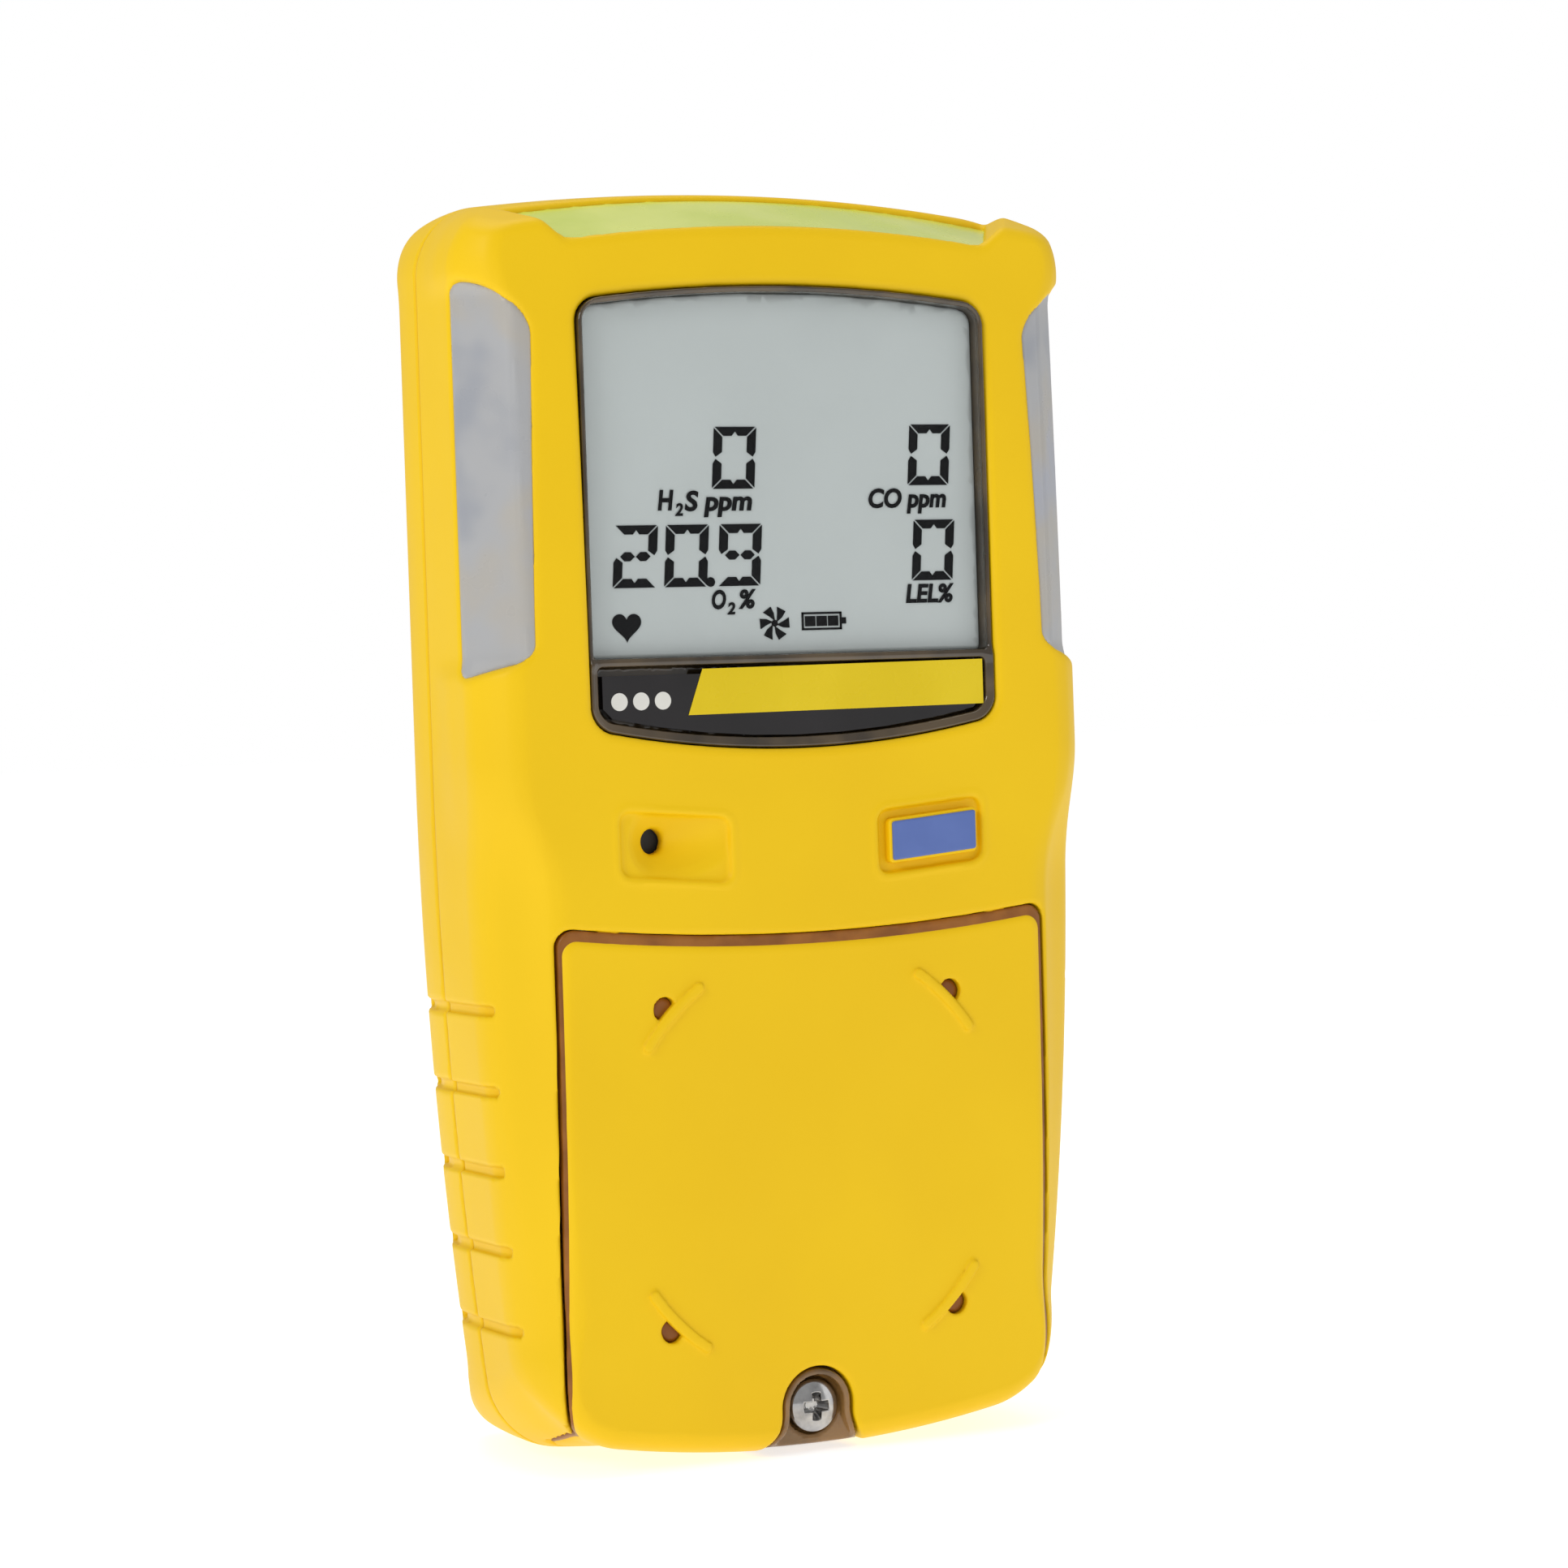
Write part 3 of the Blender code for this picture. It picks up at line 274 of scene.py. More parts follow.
# ---------------------------------------------------------------- the pieces' fields
def front_overmould(x, y, z):
    surface = body(x, y, z)
    near_recess = 1 - ramp(np.hypot(np.abs(x) - KEY_CENTRE, z - KEY_Z), 7.5, 10)
    inner = -(surface + SKIN + 2.2 * near_recess)
    opening = np.maximum(cover_outline(x, y, z, 0.45, 0.9), cover_back(y, z, OPENING_BACK))
    opening = np.minimum(opening, np.maximum(arch_outline(x, z), y + 11.1))
    lip = 0.0
    for side in (-1, 1):
        u, v = slanted(x, z, side)
        lip = lip + 0.16 * np.exp(-(box2(u, v, 6.45, 3.7, 1.5) / 0.3) ** 2)
    shape = cut_round(surface - lip * ramp(-y, 14, 16), opening, 0.25)
    shape = cut_round(shape, np.maximum(display_outline(x, z), y + 8), 0.8)
    shape = cut_round(shape, np.maximum(side_window_outline(x, y, z), -surface - 4.5), 0.9)
    shape = cut_round(shape, np.maximum(top_window_outline(x, y), 121.6 - z), 0.6)
    u, v = slanted(x, z)
    well = join_round(box2(u, v, *WELL), -(surface + 0.95), 0.3)
    shape = cut_round(shape, well, 0.35)
    shape = cut_round(shape, np.maximum(box2(u, v, 4.6, 1.9, 0.4), y + 12), 0.1)
    u, v = slanted(x, z, -1)
    across = np.where(x > HOLE[0], 8.2, 3.4)
    funnel = np.hypot((x - HOLE[0]) / across, (z - HOLE[1]) / 3.9)
    depth = 0.7 + 2.6 * (1 - np.clip(funnel, 0, 1))
    well = join_round(box2(u, v, *WELL), -(surface + depth), 0.4)
    shape = cut_round(shape, well, 0.4)
    shape = cut_round(shape, np.maximum(disc(x - HOLE[0], z - HOLE[1], HOLE_RADIUS), -y - 30), 0.3)
    shape = cut_round(shape, grip_grooves(x, y, z, surface), 0.15)
    shape = np.maximum(shape, inner)
    return join_round(shape, y - PARTING + 0.15, 0.25)


def rear_overmould(x, y, z):
    surface = body(x, y, z)
    shape = cut_round(surface, grip_grooves(x, y, z, surface), 0.3)
    for screw_x, screw_z in CASE_SCREWS:
        shape = cut_round(shape, np.maximum(disc(x - screw_x, z - screw_z, 3.3), 1 - y), 0.6)
    label = join_round(box2(x, z - REAR_LABEL_Z, 14, 6.5, 1.5), 16.15 - y, 0.1)
    shape = cut_round(shape, label, 0.2)
    for rib in range(4):
        channel = box2(np.abs(x) - 21.5 - 0.25 * rib, z - 60 - 5 * rib, 3.6, 0.8, 0.7)
        shape = cut_round(shape, join_round(channel, -(surface + 0.6), 0.3), 0.3)
    shape = cut_round(shape, np.maximum(disc(x, z - CLIP_SCREW_Z, 1.8), 5 - y), 0.1)
    shape = cut_round(shape, np.maximum(disc(x, z - INLET_Z, 5.4), 5 - y), 0.1)
    shape = cut_round(shape, np.maximum(box2(x, y - CHARGE_PORT_Y, 5.9, 3.4, 1.0), z - 8), 0.4)
    shape = np.maximum(shape, -(surface + SKIN))
    return join_round(shape, PARTING + 0.15 - y, 0.25)


def front_cover(x, y, z):
    surface = body(x, y, z)
    outline = cover_outline(x, y, z)
    shape = join_round(join_round(surface, outline, 1.0), outline, 0.25)
    ridge, from_middle, radial = ridge_shape(x, z)
    raised = join_round(ridge, surface - 0.5, 0.1)
    port = np.maximum(disc(from_middle, radial - PORT_RADIAL, 1.2), 0.5 - radial)
    shape = cut_round(shape, port, 0.12)
    shape = np.minimum(shape, np.maximum(raised, -(surface + 0.6)))
    shape = cut_round(shape, arch_outline(x, z), 0.35)
    hook = np.maximum(box2(np.abs(x) - 22.1, z - 54.5, 1.2, 0.85, 0.2), np.abs(surface + 1.0) - 0.5)
    shape = np.minimum(shape, hook)
    shape = np.maximum(shape, -(surface + SKIN))
    return np.maximum(shape, cover_back(y, z, COVER_BACK))


def cover_frame(x, y, z):
    surface = body(x, y, z)
    plate = np.maximum(cover_outline(x, y, z, -2.6, -2.6), np.abs(surface + 3.05) - 0.85)
    seat = join_round(arch_outline(x, z, -0.3), surface + 0.35, 0.3)
    seat = join_round(np.maximum(seat, y + 11.4), 0.5 - z, 0.3)
    bowl = np.maximum(join_round(arch_outline(x, z, -0.95), 1.25 - z, 0.6), y + 15.2)
    seat = cut_round(seat, bowl, 0.25)
    shape = np.minimum(plate, seat)
    shape = cut_round(shape, np.maximum(disc(x, z - SCREW_Z, 3.0), y + 14.2), 0.15)
    return np.maximum(shape, -disc(x, z - SCREW_Z, 1.6))


def cover_ledge(x, y, z):
    """The clear amber rim that fills the seam round the cover, with the bosses behind its four ports. Its
    colour is lightened with painted light against the shade in the seam and the ports.
    """
    surface = body(x, y, z)
    from_middle, radial = ridge_shape(x, z)[1:]
    boss = join_round(disc(from_middle, radial - PORT_RADIAL, 1.1), surface + 0.9, 0.15)
    boss = np.maximum(boss, -(surface + 3))
    skirt = np.maximum(cover_outline(x, y, z, 0.1, 0.82), -cover_outline(x, y, z, -0.7, -0.7))
    skirt = np.maximum(join_round(skirt, surface + 0.3, 0.1), -(surface + 2.1))
    skirt = np.maximum(np.maximum(skirt, -arch_outline(x, z, 0.3)), cover_back(y, z, COVER_BACK))
    return np.minimum(boss, skirt)


def side_window(side):
    def field(x, y, z):
        surface = body(x, y, z, 1.02)
        shape = join_round(surface + 0.25, side_window_outline(x, y, z, 0.2), 0.2)
        shape = np.maximum(shape, -(surface + 3.2))
        return np.maximum(shape, -side * x)
    return field


def top_window(x, y, z):
    surface = body(x, y, z)
    shape = join_round(surface + 0.55, top_window_outline(x, y, 0.2), 0.2)
    return np.maximum(np.maximum(shape, -(surface + 3.2)), 122 - z)


def display_frame(x, y, z):
    front = -y + BEZEL_FRONT
    rim = 0.35 * ramp(np.minimum(lcd_outline(x, z), plate_outline(x, z)), 0.1, 0.9)
    shape = join_round(display_outline(x, z, -0.12), front + 0.35 - rim, 0.3)
    shape = np.maximum(shape, y + 14.0)
    shape = cut_round(shape, lcd_outline(x, z), 0.22)
    return cut_round(shape, np.maximum(plate_outline(x, z), y + 15.2), 0.2)


def lcd_face(x, y, z):
    return join_round(lcd_outline(x, z, -0.05), np.abs(y + 14.7) - 0.7, 0.08)


def lens_face(x, y, z):
    return join_round(lcd_outline(x, z, -0.03), np.abs(y + 16.75) - 0.35, 0.1)


def button_key(x, y, z):
    u, v = slanted(x - KEY_SHIFT, z)
    boss = join_round(box2(u, v, 5.15, 2.3, 0.5), -y - 18.4, 0.3)
    stem = np.maximum(disc(u, v, 1.7), -y - 18)
    return np.maximum(np.minimum(np.maximum(boss, y + 16.9), stem), y + 13.6)


def button_pad(x, y, z):
    u, v = slanted(x - KEY_SHIFT, z)
    return join_round(np.maximum(box2(u, v, 4.85, 2.0, 0.25), y + 18.25), -y - 18.68, 0.12)


def cover_gasket(x, y, z):
    slab = join_round(box2(x, z - 30.75, 21.5, 19.75, 2.0), np.abs(y + 12.15) - 1.15, 0.3)
    across, up = np.abs(x) - SENSOR_OFFSET, np.abs(z - RIDGE_Z) - SENSOR_OFFSET
    return cut_round(slab, disc(across, up, 7.2), 0.4)


def cover_screw(x, y, z):
    radius = np.hypot(x, z - SCREW_Z)
    dome = np.hypot(radius, y + 11.2) - 5.35
    head = join_round(np.maximum(dome, y + 14.5), radius - 2.75, 0.25)
    depth = np.maximum(-y - 14.7, 0)
    wing = 0.34 + 0.1 * depth
    length = 1.0 + 0.8 * depth
    cross = np.maximum(cross_slot(x, z - SCREW_Z, length, wing), radius - 0.5 - 0.6 * depth)
    head = cut_round(head, np.maximum(cross, y + 14.75), 0.06)
    thread = 0.12 * np.abs(np.mod(y, 0.9) - 0.45)
    shank = np.maximum(radius - 1.25 - thread, y + 7.0)
    return np.maximum(np.minimum(head, np.maximum(shank, -y - 15)), y + 7.0)


def case_screw(place):
    def field(x, y, z):
        radius = np.hypot(x - place[0], z - place[1])
        head = join_round(radius - 2.7, y - 8.2 + 0.03 * radius ** 2, 0.35)
        head = np.maximum(head, 6.3 - y)
        six = np.max([np.abs(np.cos(a) * (x - place[0]) + np.sin(a) * (z - place[1]))
                      for a in (0.3, 0.3 + math.pi / 3, 0.3 + 2 * math.pi / 3)], axis=0)
        head = cut_round(head, np.maximum(six - 1.15, 6.9 - y), 0.12)
        return np.minimum(head, np.maximum(radius - 1.5, np.abs(y + 0.6) - 7.1))
    return field


def inlet_cap(x, y, z):
    shape = join_round(box2(x, z - INLET_Z, 13.0, 8.5, 4.0), y - 21.6, 1.1)
    shape = np.maximum(shape, 16.8 - y)
    dish = join_round(disc(x, z - INLET_Z, 6.0), 21.1 - y, 0.1)
    shape = cut_round(shape, dish, 0.35)
    shape = cut_round(shape, np.maximum(disc(x, z - INLET_Z, 7.0), y - 19.4), 0.1)
    shape = cut_round(shape, np.maximum(disc(np.abs(x) - INLET_SCREW_X, z - INLET_Z, 2.4), 20.0 - y), 0.3)
    shape = np.maximum(shape, -disc(np.abs(x) - INLET_SCREW_X, z - INLET_Z, 1.3))
    sleeve = join_round(disc(x, y - NOZZLE_Y, 2.7), 15.2 - z, 0.4)
    shape = add_round(shape, np.maximum(sleeve, z - 19), 0.5)
    return np.maximum(shape, -np.maximum(disc(x, y - NOZZLE_Y, 2.1), z - 18.9))


def inlet_screw(side):
    def field(x, y, z):
        radius = np.hypot(x - side * INLET_SCREW_X, z - INLET_Z)
        head = join_round(radius - 2.0, y - 21.4 + 0.06 * radius ** 2, 0.25)
        head = np.maximum(head, 20.3 - y)
        slot = cross_slot(x - side * INLET_SCREW_X, z - INLET_Z, 1.2, 0.25)
        head = cut_round(head, np.maximum(slot, 20.9 - y), 0.06)
        return np.minimum(head, np.maximum(radius - 1.0, np.abs(y - 16.4) - 4.1))
    return field


def inlet_nozzle(x, y, z):
    radius = np.hypot(x, y - NOZZLE_Y)
    barbs = np.where(z < 10.4, 1.45 + 0.55 * np.mod(z - 4.6, 1.9) / 1.9, 2.0)
    tip = 0.9 + (z - 4.5) * 0.8
    shape = (radius - np.minimum(barbs, tip)) * 0.8
    shape = join_round(shape, 4.5 - z, 0.12)
    return np.maximum(np.maximum(shape, z - 18.6), 0.8 - radius)


def charge_port(x, y, z):
    shape = join_round(box2(x, y - CHARGE_PORT_Y, 5.5, 3.0, 0.8), 0.6 - z, 0.3)
    slot = np.maximum(box2(np.mod(x + 1.5, 3) - 1.5, y - CHARGE_PORT_Y, 0.7, 1.4, 0.3), z - 1.6)
    shape = cut_round(shape, slot, 0.12)
    return np.maximum(shape, z - 6.5)


def strip_distance(y, z, points):
    """Distance in the Y-Z plane from the line through the points."""
    best = np.full(np.broadcast(y, z).shape, 1e3, np.float32)
    for (y0, z0), (y1, z1) in zip(points, points[1:]):
        dy, dz = y1 - y0, z1 - z0
        t = np.clip(((y - y0) * dy + (z - z0) * dz) / (dy * dy + dz * dz), 0, 1)
        best = np.minimum(best, np.hypot(y - y0 - t * dy, z - z0 - t * dz))
    return best


def smooth_line(points, count=40):
    """Points along a curve that passes through the given ones, at even steps."""
    points = np.array(points, float)
    padded = np.vstack([2 * points[0] - points[1], points, 2 * points[-1] - points[-2]])
    out = []
    for s in np.linspace(0, len(points) - 1 - 1e-6, count):
        i, t = int(s), s - int(s)
        a, b, c, d = padded[i:i + 4]
        out.append(0.5 * (2 * b + (c - a) * t + (2 * a - 5 * b + 4 * c - d) * t ** 2
                          + (3 * b - a - 3 * c + d) * t ** 3))
    return [tuple(p) for p in out]


LEVER_LINE = smooth_line([(18.8, 62.8), (20.9, 63.2), (22.6, 65.6), (24.0, 69), (26.4, 77), (28.2, 86),
                          (29.2, 93), (30.6, 100), (32.4, 107), (33.0, 111.4)], 36)


def clip_lever(x, y, z):
    line = strip_distance(y, z, LEVER_LINE)
    outline = box2(x, z - 87, 8.6, 25.0, 3.0)
    groove = 0.45 * (1 - ramp(np.abs(np.abs(x) - 4.6), 0.5, 1.1))
    groove = groove * ramp(z, 92, 94) * (1 - ramp(z, 106, 108))
    shape = join_round(line - 0.5, outline, 0.3) + 0.3 * groove
    py, pz = CLIP_PIN
    ear = disc(y - py, z - pz, 3.1)
    web = np.maximum(np.maximum(np.abs(z - pz) - 5.2 + 0.45 * (29.0 - y), py - y), y - 29.0)
    flange = np.maximum(np.minimum(ear, web), np.abs(np.abs(x) - FLANGE_X) - 0.42)
    shape = add_round(shape, flange, 0.5)
    return np.maximum(shape, -disc(y - py, z - pz, 1.5))


def clip_base(x, y, z):
    py, pz = CLIP_PIN
    plate = join_round(box2(x, z - 84, 9.0, 22.0, 2.4), np.abs(y - 17.3) - 0.5, 0.2)
    emboss = join_round(box2(x, z - 71, 5.2, 6.0, 1.6), y - 18.0, 0.2)
    plate = add_round(plate, np.maximum(emboss, 17.2 - y), 0.4)
    ear = join_round(disc(y - py, z - pz, 2.9), np.abs(np.abs(x) - EAR_X) - 0.4, 0.2)
    web_half = 7.0 - 0.62 * np.maximum(y - 18, 0)
    web = np.maximum(np.maximum(np.abs(z - pz) - web_half, y - py), 17 - y)
    ear = np.minimum(ear, join_round(web, np.abs(np.abs(x) - EAR_X) - 0.4, 0.2))
    shape = add_round(plate, ear, 0.5)
    shape = np.maximum(shape, -disc(y - py, z - pz, 1.35))
    return np.maximum(shape, -np.maximum(disc(x, z - CLIP_SCREW_Z, 1.8), y - 25))


def clip_screw(x, y, z):
    radius = np.hypot(x, z - CLIP_SCREW_Z)
    head = join_round(radius - 3.0, y - 19.9 + 0.09 * radius ** 2, 0.3)
    head = np.maximum(head, 18.1 - y)
    slot = cross_slot(x, z - CLIP_SCREW_Z, 1.7, 0.35)
    head = cut_round(head, np.maximum(slot, 18.9 - y), 0.08)
    return np.minimum(head, np.maximum(radius - 1.5, np.abs(y - 13.5) - 5.0))


# ---------------------------------------------------------------- from field to mesh
def crossing_cells(values):
    """Cells of the grid that the surface passes through, with one vertex each, and their quads."""
    inside = values < 0
    shape = np.array(values.shape)
    cells = shape - 1
    strides = np.array([cells[1] * cells[2], cells[2], 1])
    index, weight, quads = [], [], []
    for axis in range(3):
        others = [a for a in range(3) if a != axis]
        near = [slice(None)] * 3
        far = [slice(None)] * 3
        near[axis], far[axis] = slice(0, -1), slice(1, None)
        changed = inside[tuple(near)] != inside[tuple(far)]
        at = np.argwhere(changed)
        at = at[np.all((at[:, others] > 0) & (at[:, others] < shape[others] - 1), axis=1)]
        here = values[tuple(at.T)]
        step = at.copy()
        step[:, axis] += 1
        there = values[tuple(step.T)]
        point = at.astype(float)
        point[:, axis] += here / (here - there)
        corner = []
        for back in ((1, 1), (0, 1), (0, 0), (1, 0)):
            cell = at.copy()
            cell[:, others[0]] -= back[0]
            cell[:, others[1]] -= back[1]
            flat = cell @ strides
            corner.append(flat)
            index.append(flat)
            weight.append(point)
        quad = np.stack(corner, 1)
        flip = (here < 0) == (axis == 1)
        quad[flip] = quad[flip][:, ::-1]
        quads.append(quad)
    index, weight, quads = np.concatenate(index), np.concatenate(weight), np.concatenate(quads)
    used, inverse = np.unique(index, return_inverse=True)
    count = np.bincount(inverse)
    points = np.stack([np.bincount(inverse, weight[:, a]) / count for a in range(3)], 1)
    return points, np.searchsorted(used, quads)


def settle(field, points, limit, rounds=3):
    """Moves each point onto the field's surface along its slope."""
    small = 0.03        # step for the slope, mm
    for _ in range(rounds):
        value = field(*points.T)
        slope = np.stack([
            (field(*(points + small * np.eye(3)[a]).T) - field(*(points - small * np.eye(3)[a]).T))
            / (2 * small) for a in range(3)], 1)
        square = np.maximum((slope ** 2).sum(1), 0.15)
        move = -(value / square)[:, None] * slope
        length = np.maximum(np.linalg.norm(move, axis=1), 1e-9)
        points = points + move * np.minimum(1, limit / length)[:, None]
    return points


def mesh_piece(name, field, low, high, step, material, keep=1.0):
    axes = [np.arange(a - step, b + 2 * step, step, dtype=np.float32) for a, b in zip(low, high)]
    x, y, z = axes[0][:, None, None], axes[1][None, :, None], axes[2][None, None, :]
    values = np.broadcast_to(field(x, y, z), [len(a) for a in axes])
    points, quads = crossing_cells(values)
    points = np.array([a[0] for a in axes]) + points * step
    points = settle(field, points, step * 0.6)
    mesh = bpy.data.meshes.new(name)
    mesh.vertices.add(len(points))
    mesh.vertices.foreach_set("co", ((points + (0, DEPTH_SHIFT, 0)) * MM).astype(np.float32).ravel())
    mesh.loops.add(quads.size)
    mesh.loops.foreach_set("vertex_index", quads.astype(np.int32).ravel())
    mesh.polygons.add(len(quads))
    mesh.polygons.foreach_set("loop_start", np.arange(0, quads.size, 4, dtype=np.int32))
    mesh.update(calc_edges=True)
    mesh.shade_smooth()
    obj = bpy.data.objects.new(name, mesh)
    bpy.context.scene.collection.objects.link(obj)
    mesh.materials.append(material)
    if keep < 1:
        thin = obj.modifiers.new("thin", "DECIMATE")
        thin.ratio = keep
        with bpy.context.temp_override(object=obj, active_object=obj):
            bpy.ops.object.modifier_apply(modifier=thin.name)
        obj.data.shade_smooth()
    return obj


def flat_shapes(name, outlines, front, thickness, material):
    """Thin printed shapes on the display: each outline of (x, z) points becomes a plate."""
    bm = bmesh.new()
    for outline in outlines:
        ends = [[bm.verts.new((px * MM, (depth + DEPTH_SHIFT) * MM, pz * MM)) for px, pz in outline]
                for depth in (front, front + thickness)]
        count = len(outline)
        for i in range(count):
            j = (i + 1) % count
            bm.faces.new((ends[0][i], ends[0][j], ends[1][j], ends[1][i]))
        bm.faces.new(ends[0])
        bm.faces.new(ends[1])
    bmesh.ops.recalc_face_normals(bm, faces=bm.faces)
    mesh = bpy.data.meshes.new(name)
    bm.to_mesh(mesh)
    bm.free()
    mesh.materials.append(material)
    obj = bpy.data.objects.new(name, mesh)
    bpy.context.scene.collection.objects.link(obj)
    return obj


# ---------------------------------------------------------------- materials
NOISE_LOW, NOISE_SPAN = 0.32, 0.36      # where a noise texture's values mostly lie


def linear(red, green, blue):
    """A colour given in display values from 0 to 255."""
    values = [c / 255 for c in (red, green, blue)]
    return (*(c / 12.92 if c <= 0.04045 else ((c + 0.055) / 1.055) ** 2.4 for c in values), 1)


def material(name, colours, patch=0.02, rough=(0.4, 0.5), grain=0.0004, bump=0.15, depth=0.00003,
             **constants):
    """A moulded or metal surface: a slow change of colour, uneven gloss and a fine grain.
    patch and grain are the sizes of the colour change and of the grain, in metres."""
    made = bpy.data.materials.new(name)
    made.use_nodes = True
    nodes, links = made.node_tree.nodes, made.node_tree.links
    shader = nodes["Principled BSDF"]
    place = nodes.new("ShaderNodeTexCoord").outputs["Object"]

    def noise(size, detail):
        node = nodes.new("ShaderNodeTexNoise")
        node.inputs["Scale"].default_value = 1 / size
        node.inputs["Detail"].default_value = detail
        links.new(place, node.inputs["Vector"])
        return node.outputs["Fac"]

    blend = nodes.new("ShaderNodeValToRGB")
    blend.color_ramp.interpolation = "EASE"
    stops = blend.color_ramp.elements
    while len(stops) < len(colours):
        stops.new(0.5)
    for i, colour in enumerate(colours):
        stops[i].position = NOISE_LOW + NOISE_SPAN * i / (len(colours) - 1)
        stops[i].color = linear(*colour)
    links.new(noise(patch, 3), blend.inputs["Fac"])
    links.new(blend.outputs["Color"], shader.inputs["Base Color"])
    gloss = nodes.new("ShaderNodeMapRange")
    gloss.inputs["From Min"].default_value = 0.3
    gloss.inputs["From Max"].default_value = 0.7
    gloss.inputs["To Min"].default_value = rough[0]
    gloss.inputs["To Max"].default_value = rough[1]
    links.new(noise(patch * 0.4, 4), gloss.inputs["Value"])
    links.new(gloss.outputs["Result"], shader.inputs["Roughness"])
    height = nodes.new("ShaderNodeBump")
    height.inputs["Strength"].default_value = bump
    height.inputs["Distance"].default_value = depth
    links.new(noise(grain, 2), height.inputs["Height"])
    links.new(height.outputs["Normal"], shader.inputs["Normal"])
    for socket, value in constants.items():
        shader.inputs[socket.replace("_", " ")].default_value = value
    return made


def clear_material(name, tint, gloss_share=0.006):
    """A thin clear sheet: it lets the display through and reflects the lamps."""
    made = bpy.data.materials.new(name)
    made.use_nodes = True
    nodes, links = made.node_tree.nodes, made.node_tree.links
    nodes.remove(nodes["Principled BSDF"])
    through = nodes.new("ShaderNodeBsdfTransparent")
    through.inputs["Color"].default_value = tint
    gloss = nodes.new("ShaderNodeBsdfGlossy")
    gloss.inputs["Roughness"].default_value = 0.05
    facing = nodes.new("ShaderNodeLayerWeight")
    facing.inputs["Blend"].default_value = 0.5
    curve = nodes.new("ShaderNodeMath")
    curve.operation = "POWER"
    curve.inputs[1].default_value = 4
    share = nodes.new("ShaderNodeMapRange")
    share.inputs["To Min"].default_value = gloss_share
    share.inputs["To Max"].default_value = 0.6
    mix = nodes.new("ShaderNodeMixShader")
    links.new(facing.outputs["Facing"], curve.inputs[0])
    links.new(curve.outputs["Value"], share.inputs["Value"])
    links.new(share.outputs["Result"], mix.inputs["Fac"])
    links.new(through.outputs["BSDF"], mix.inputs[1])
    links.new(gloss.outputs["BSDF"], mix.inputs[2])
    links.new(mix.outputs["Shader"], nodes["Material Output"].inputs["Surface"])
    return made


YELLOW = material("yellow_rubber", [(238, 194, 4), (242, 199, 6)], 0.03, (0.44, 0.52), 0.00035, 0.2,
                  Specular_IOR_Level=0.25)
# Amber of the rim in the cover's seam, lightened with painted light against the shade in the narrow seam
# and in the ports.
AMBER_PAINTED_LIGHT = material("amber_polycarbonate_painted_light", [(128, 76, 24), (154, 96, 34)], 0.004, (0.3, 0.4), 0.0008, 0.04,
                 0.00002, Specular_IOR_Level=0.3)
# Smoky polycarbonate where it shows in the seams and round the cover's screw: lighter than the bezel's
# SMOKE_DARK, with painted light against the shade there.
SMOKE_PAINTED_LIGHT = material("smoke_polycarbonate", [(90, 66, 36), (146, 108, 60)], 0.006, (0.12, 0.22), 0.0008, 0.04,
                 0.00002, Coat_Weight=0.3, Coat_Roughness=0.08)
SMOKE_DARK = material("smoke_polycarbonate_deep", [(50, 40, 27), (88, 72, 49)], 0.008, (0.1, 0.18), 0.0008,
                      0.04, 0.00002, Coat_Weight=0.6, Coat_Roughness=0.06)
WINDOW = material("clear_window", [(154, 157, 164), (169, 170, 172), (174, 170, 163), (166, 169, 179)],
                  0.016, (0.25, 0.35), 0.0006, 0.05, 0.00002, Coat_Weight=0.2, Coat_Roughness=0.2)
WINDOW_LIT = material("lit_window", [(196, 208, 74), (214, 220, 104)], 0.012, (0.2, 0.3), 0.0006, 0.05,
                      0.00002, Coat_Weight=0.3, Coat_Roughness=0.15, Emission_Color=linear(180, 215, 60),
                      Emission_Strength=0.1)
LENS = clear_material("lens", (0.98, 0.99, 0.99, 1))
# The display's faint glow in its own colour is painted light: the display is no lamp, and the glow
# brightens it where the bezel and the lens shade it.
LCD = material("lcd", [(188, 192, 191), (192, 196, 195)], 0.02, (0.3, 0.36), 0.0003, 0.02, 0.00001,
               Emission_Color=linear(184, 190, 190), Emission_Strength=0.08)
INK = material("lcd_ink", [(14, 14, 16), (20, 20, 22)], 0.01, (0.5, 0.6), 0.0003, 0.05, 0.00001,
               Specular_IOR_Level=0.1)
LABEL = material("label", [(16, 13, 15), (24, 20, 23)], 0.01, (0.18, 0.26), 0.0005, 0.03, 0.00001)
BAND = material("label_band", [(222, 194, 24), (228, 200, 32)], 0.01, (0.25, 0.3), 0.0005, 0.03, 0.00001,
                Specular_IOR_Level=0.25)
BLUE = material("button_blue", [(84, 108, 174), (92, 116, 182)], 0.006, (0.4, 0.48), 0.0003, 0.1, 0.00002)
BLACK = material("black_plastic", [(26, 26, 27), (38, 38, 39)], 0.01, (0.42, 0.55), 0.0003, 0.2)
WHITE = material("white_plastic", [(214, 213, 206), (228, 227, 220)], 0.01, (0.45, 0.55), 0.0005, 0.1)
BOARD = material("circuit_board", [(12, 74, 38), (22, 96, 52)], 0.002, (0.3, 0.4), 0.0006, 0.3, 0.00005)
WRAP = material("battery_wrap", [(36, 62, 128), (46, 74, 144)], 0.01, (0.25, 0.35), 0.001, 0.1, 0.00005)
SILICONE = material("silicone", [(190, 189, 182), (206, 205, 198)], 0.008, (0.4, 0.5), 0.0004, 0.1)
STEEL = material("steel", [(188, 186, 182), (198, 196, 192)], 0.02, (0.2, 0.26), 0.0003, 0.08, 0.00001,
                 Metallic=1.0)
CHROME = material("chrome", [(148, 147, 148), (190, 189, 188)], 0.002, (0.1, 0.2), 0.0003, 0.06, 0.00001,
                  Metallic=1.0)
BRASS = material("brass", [(190, 150, 80), (208, 168, 96)], 0.004, (0.25, 0.35), 0.0003, 0.1, 0.00002,
                 Metallic=1.0)

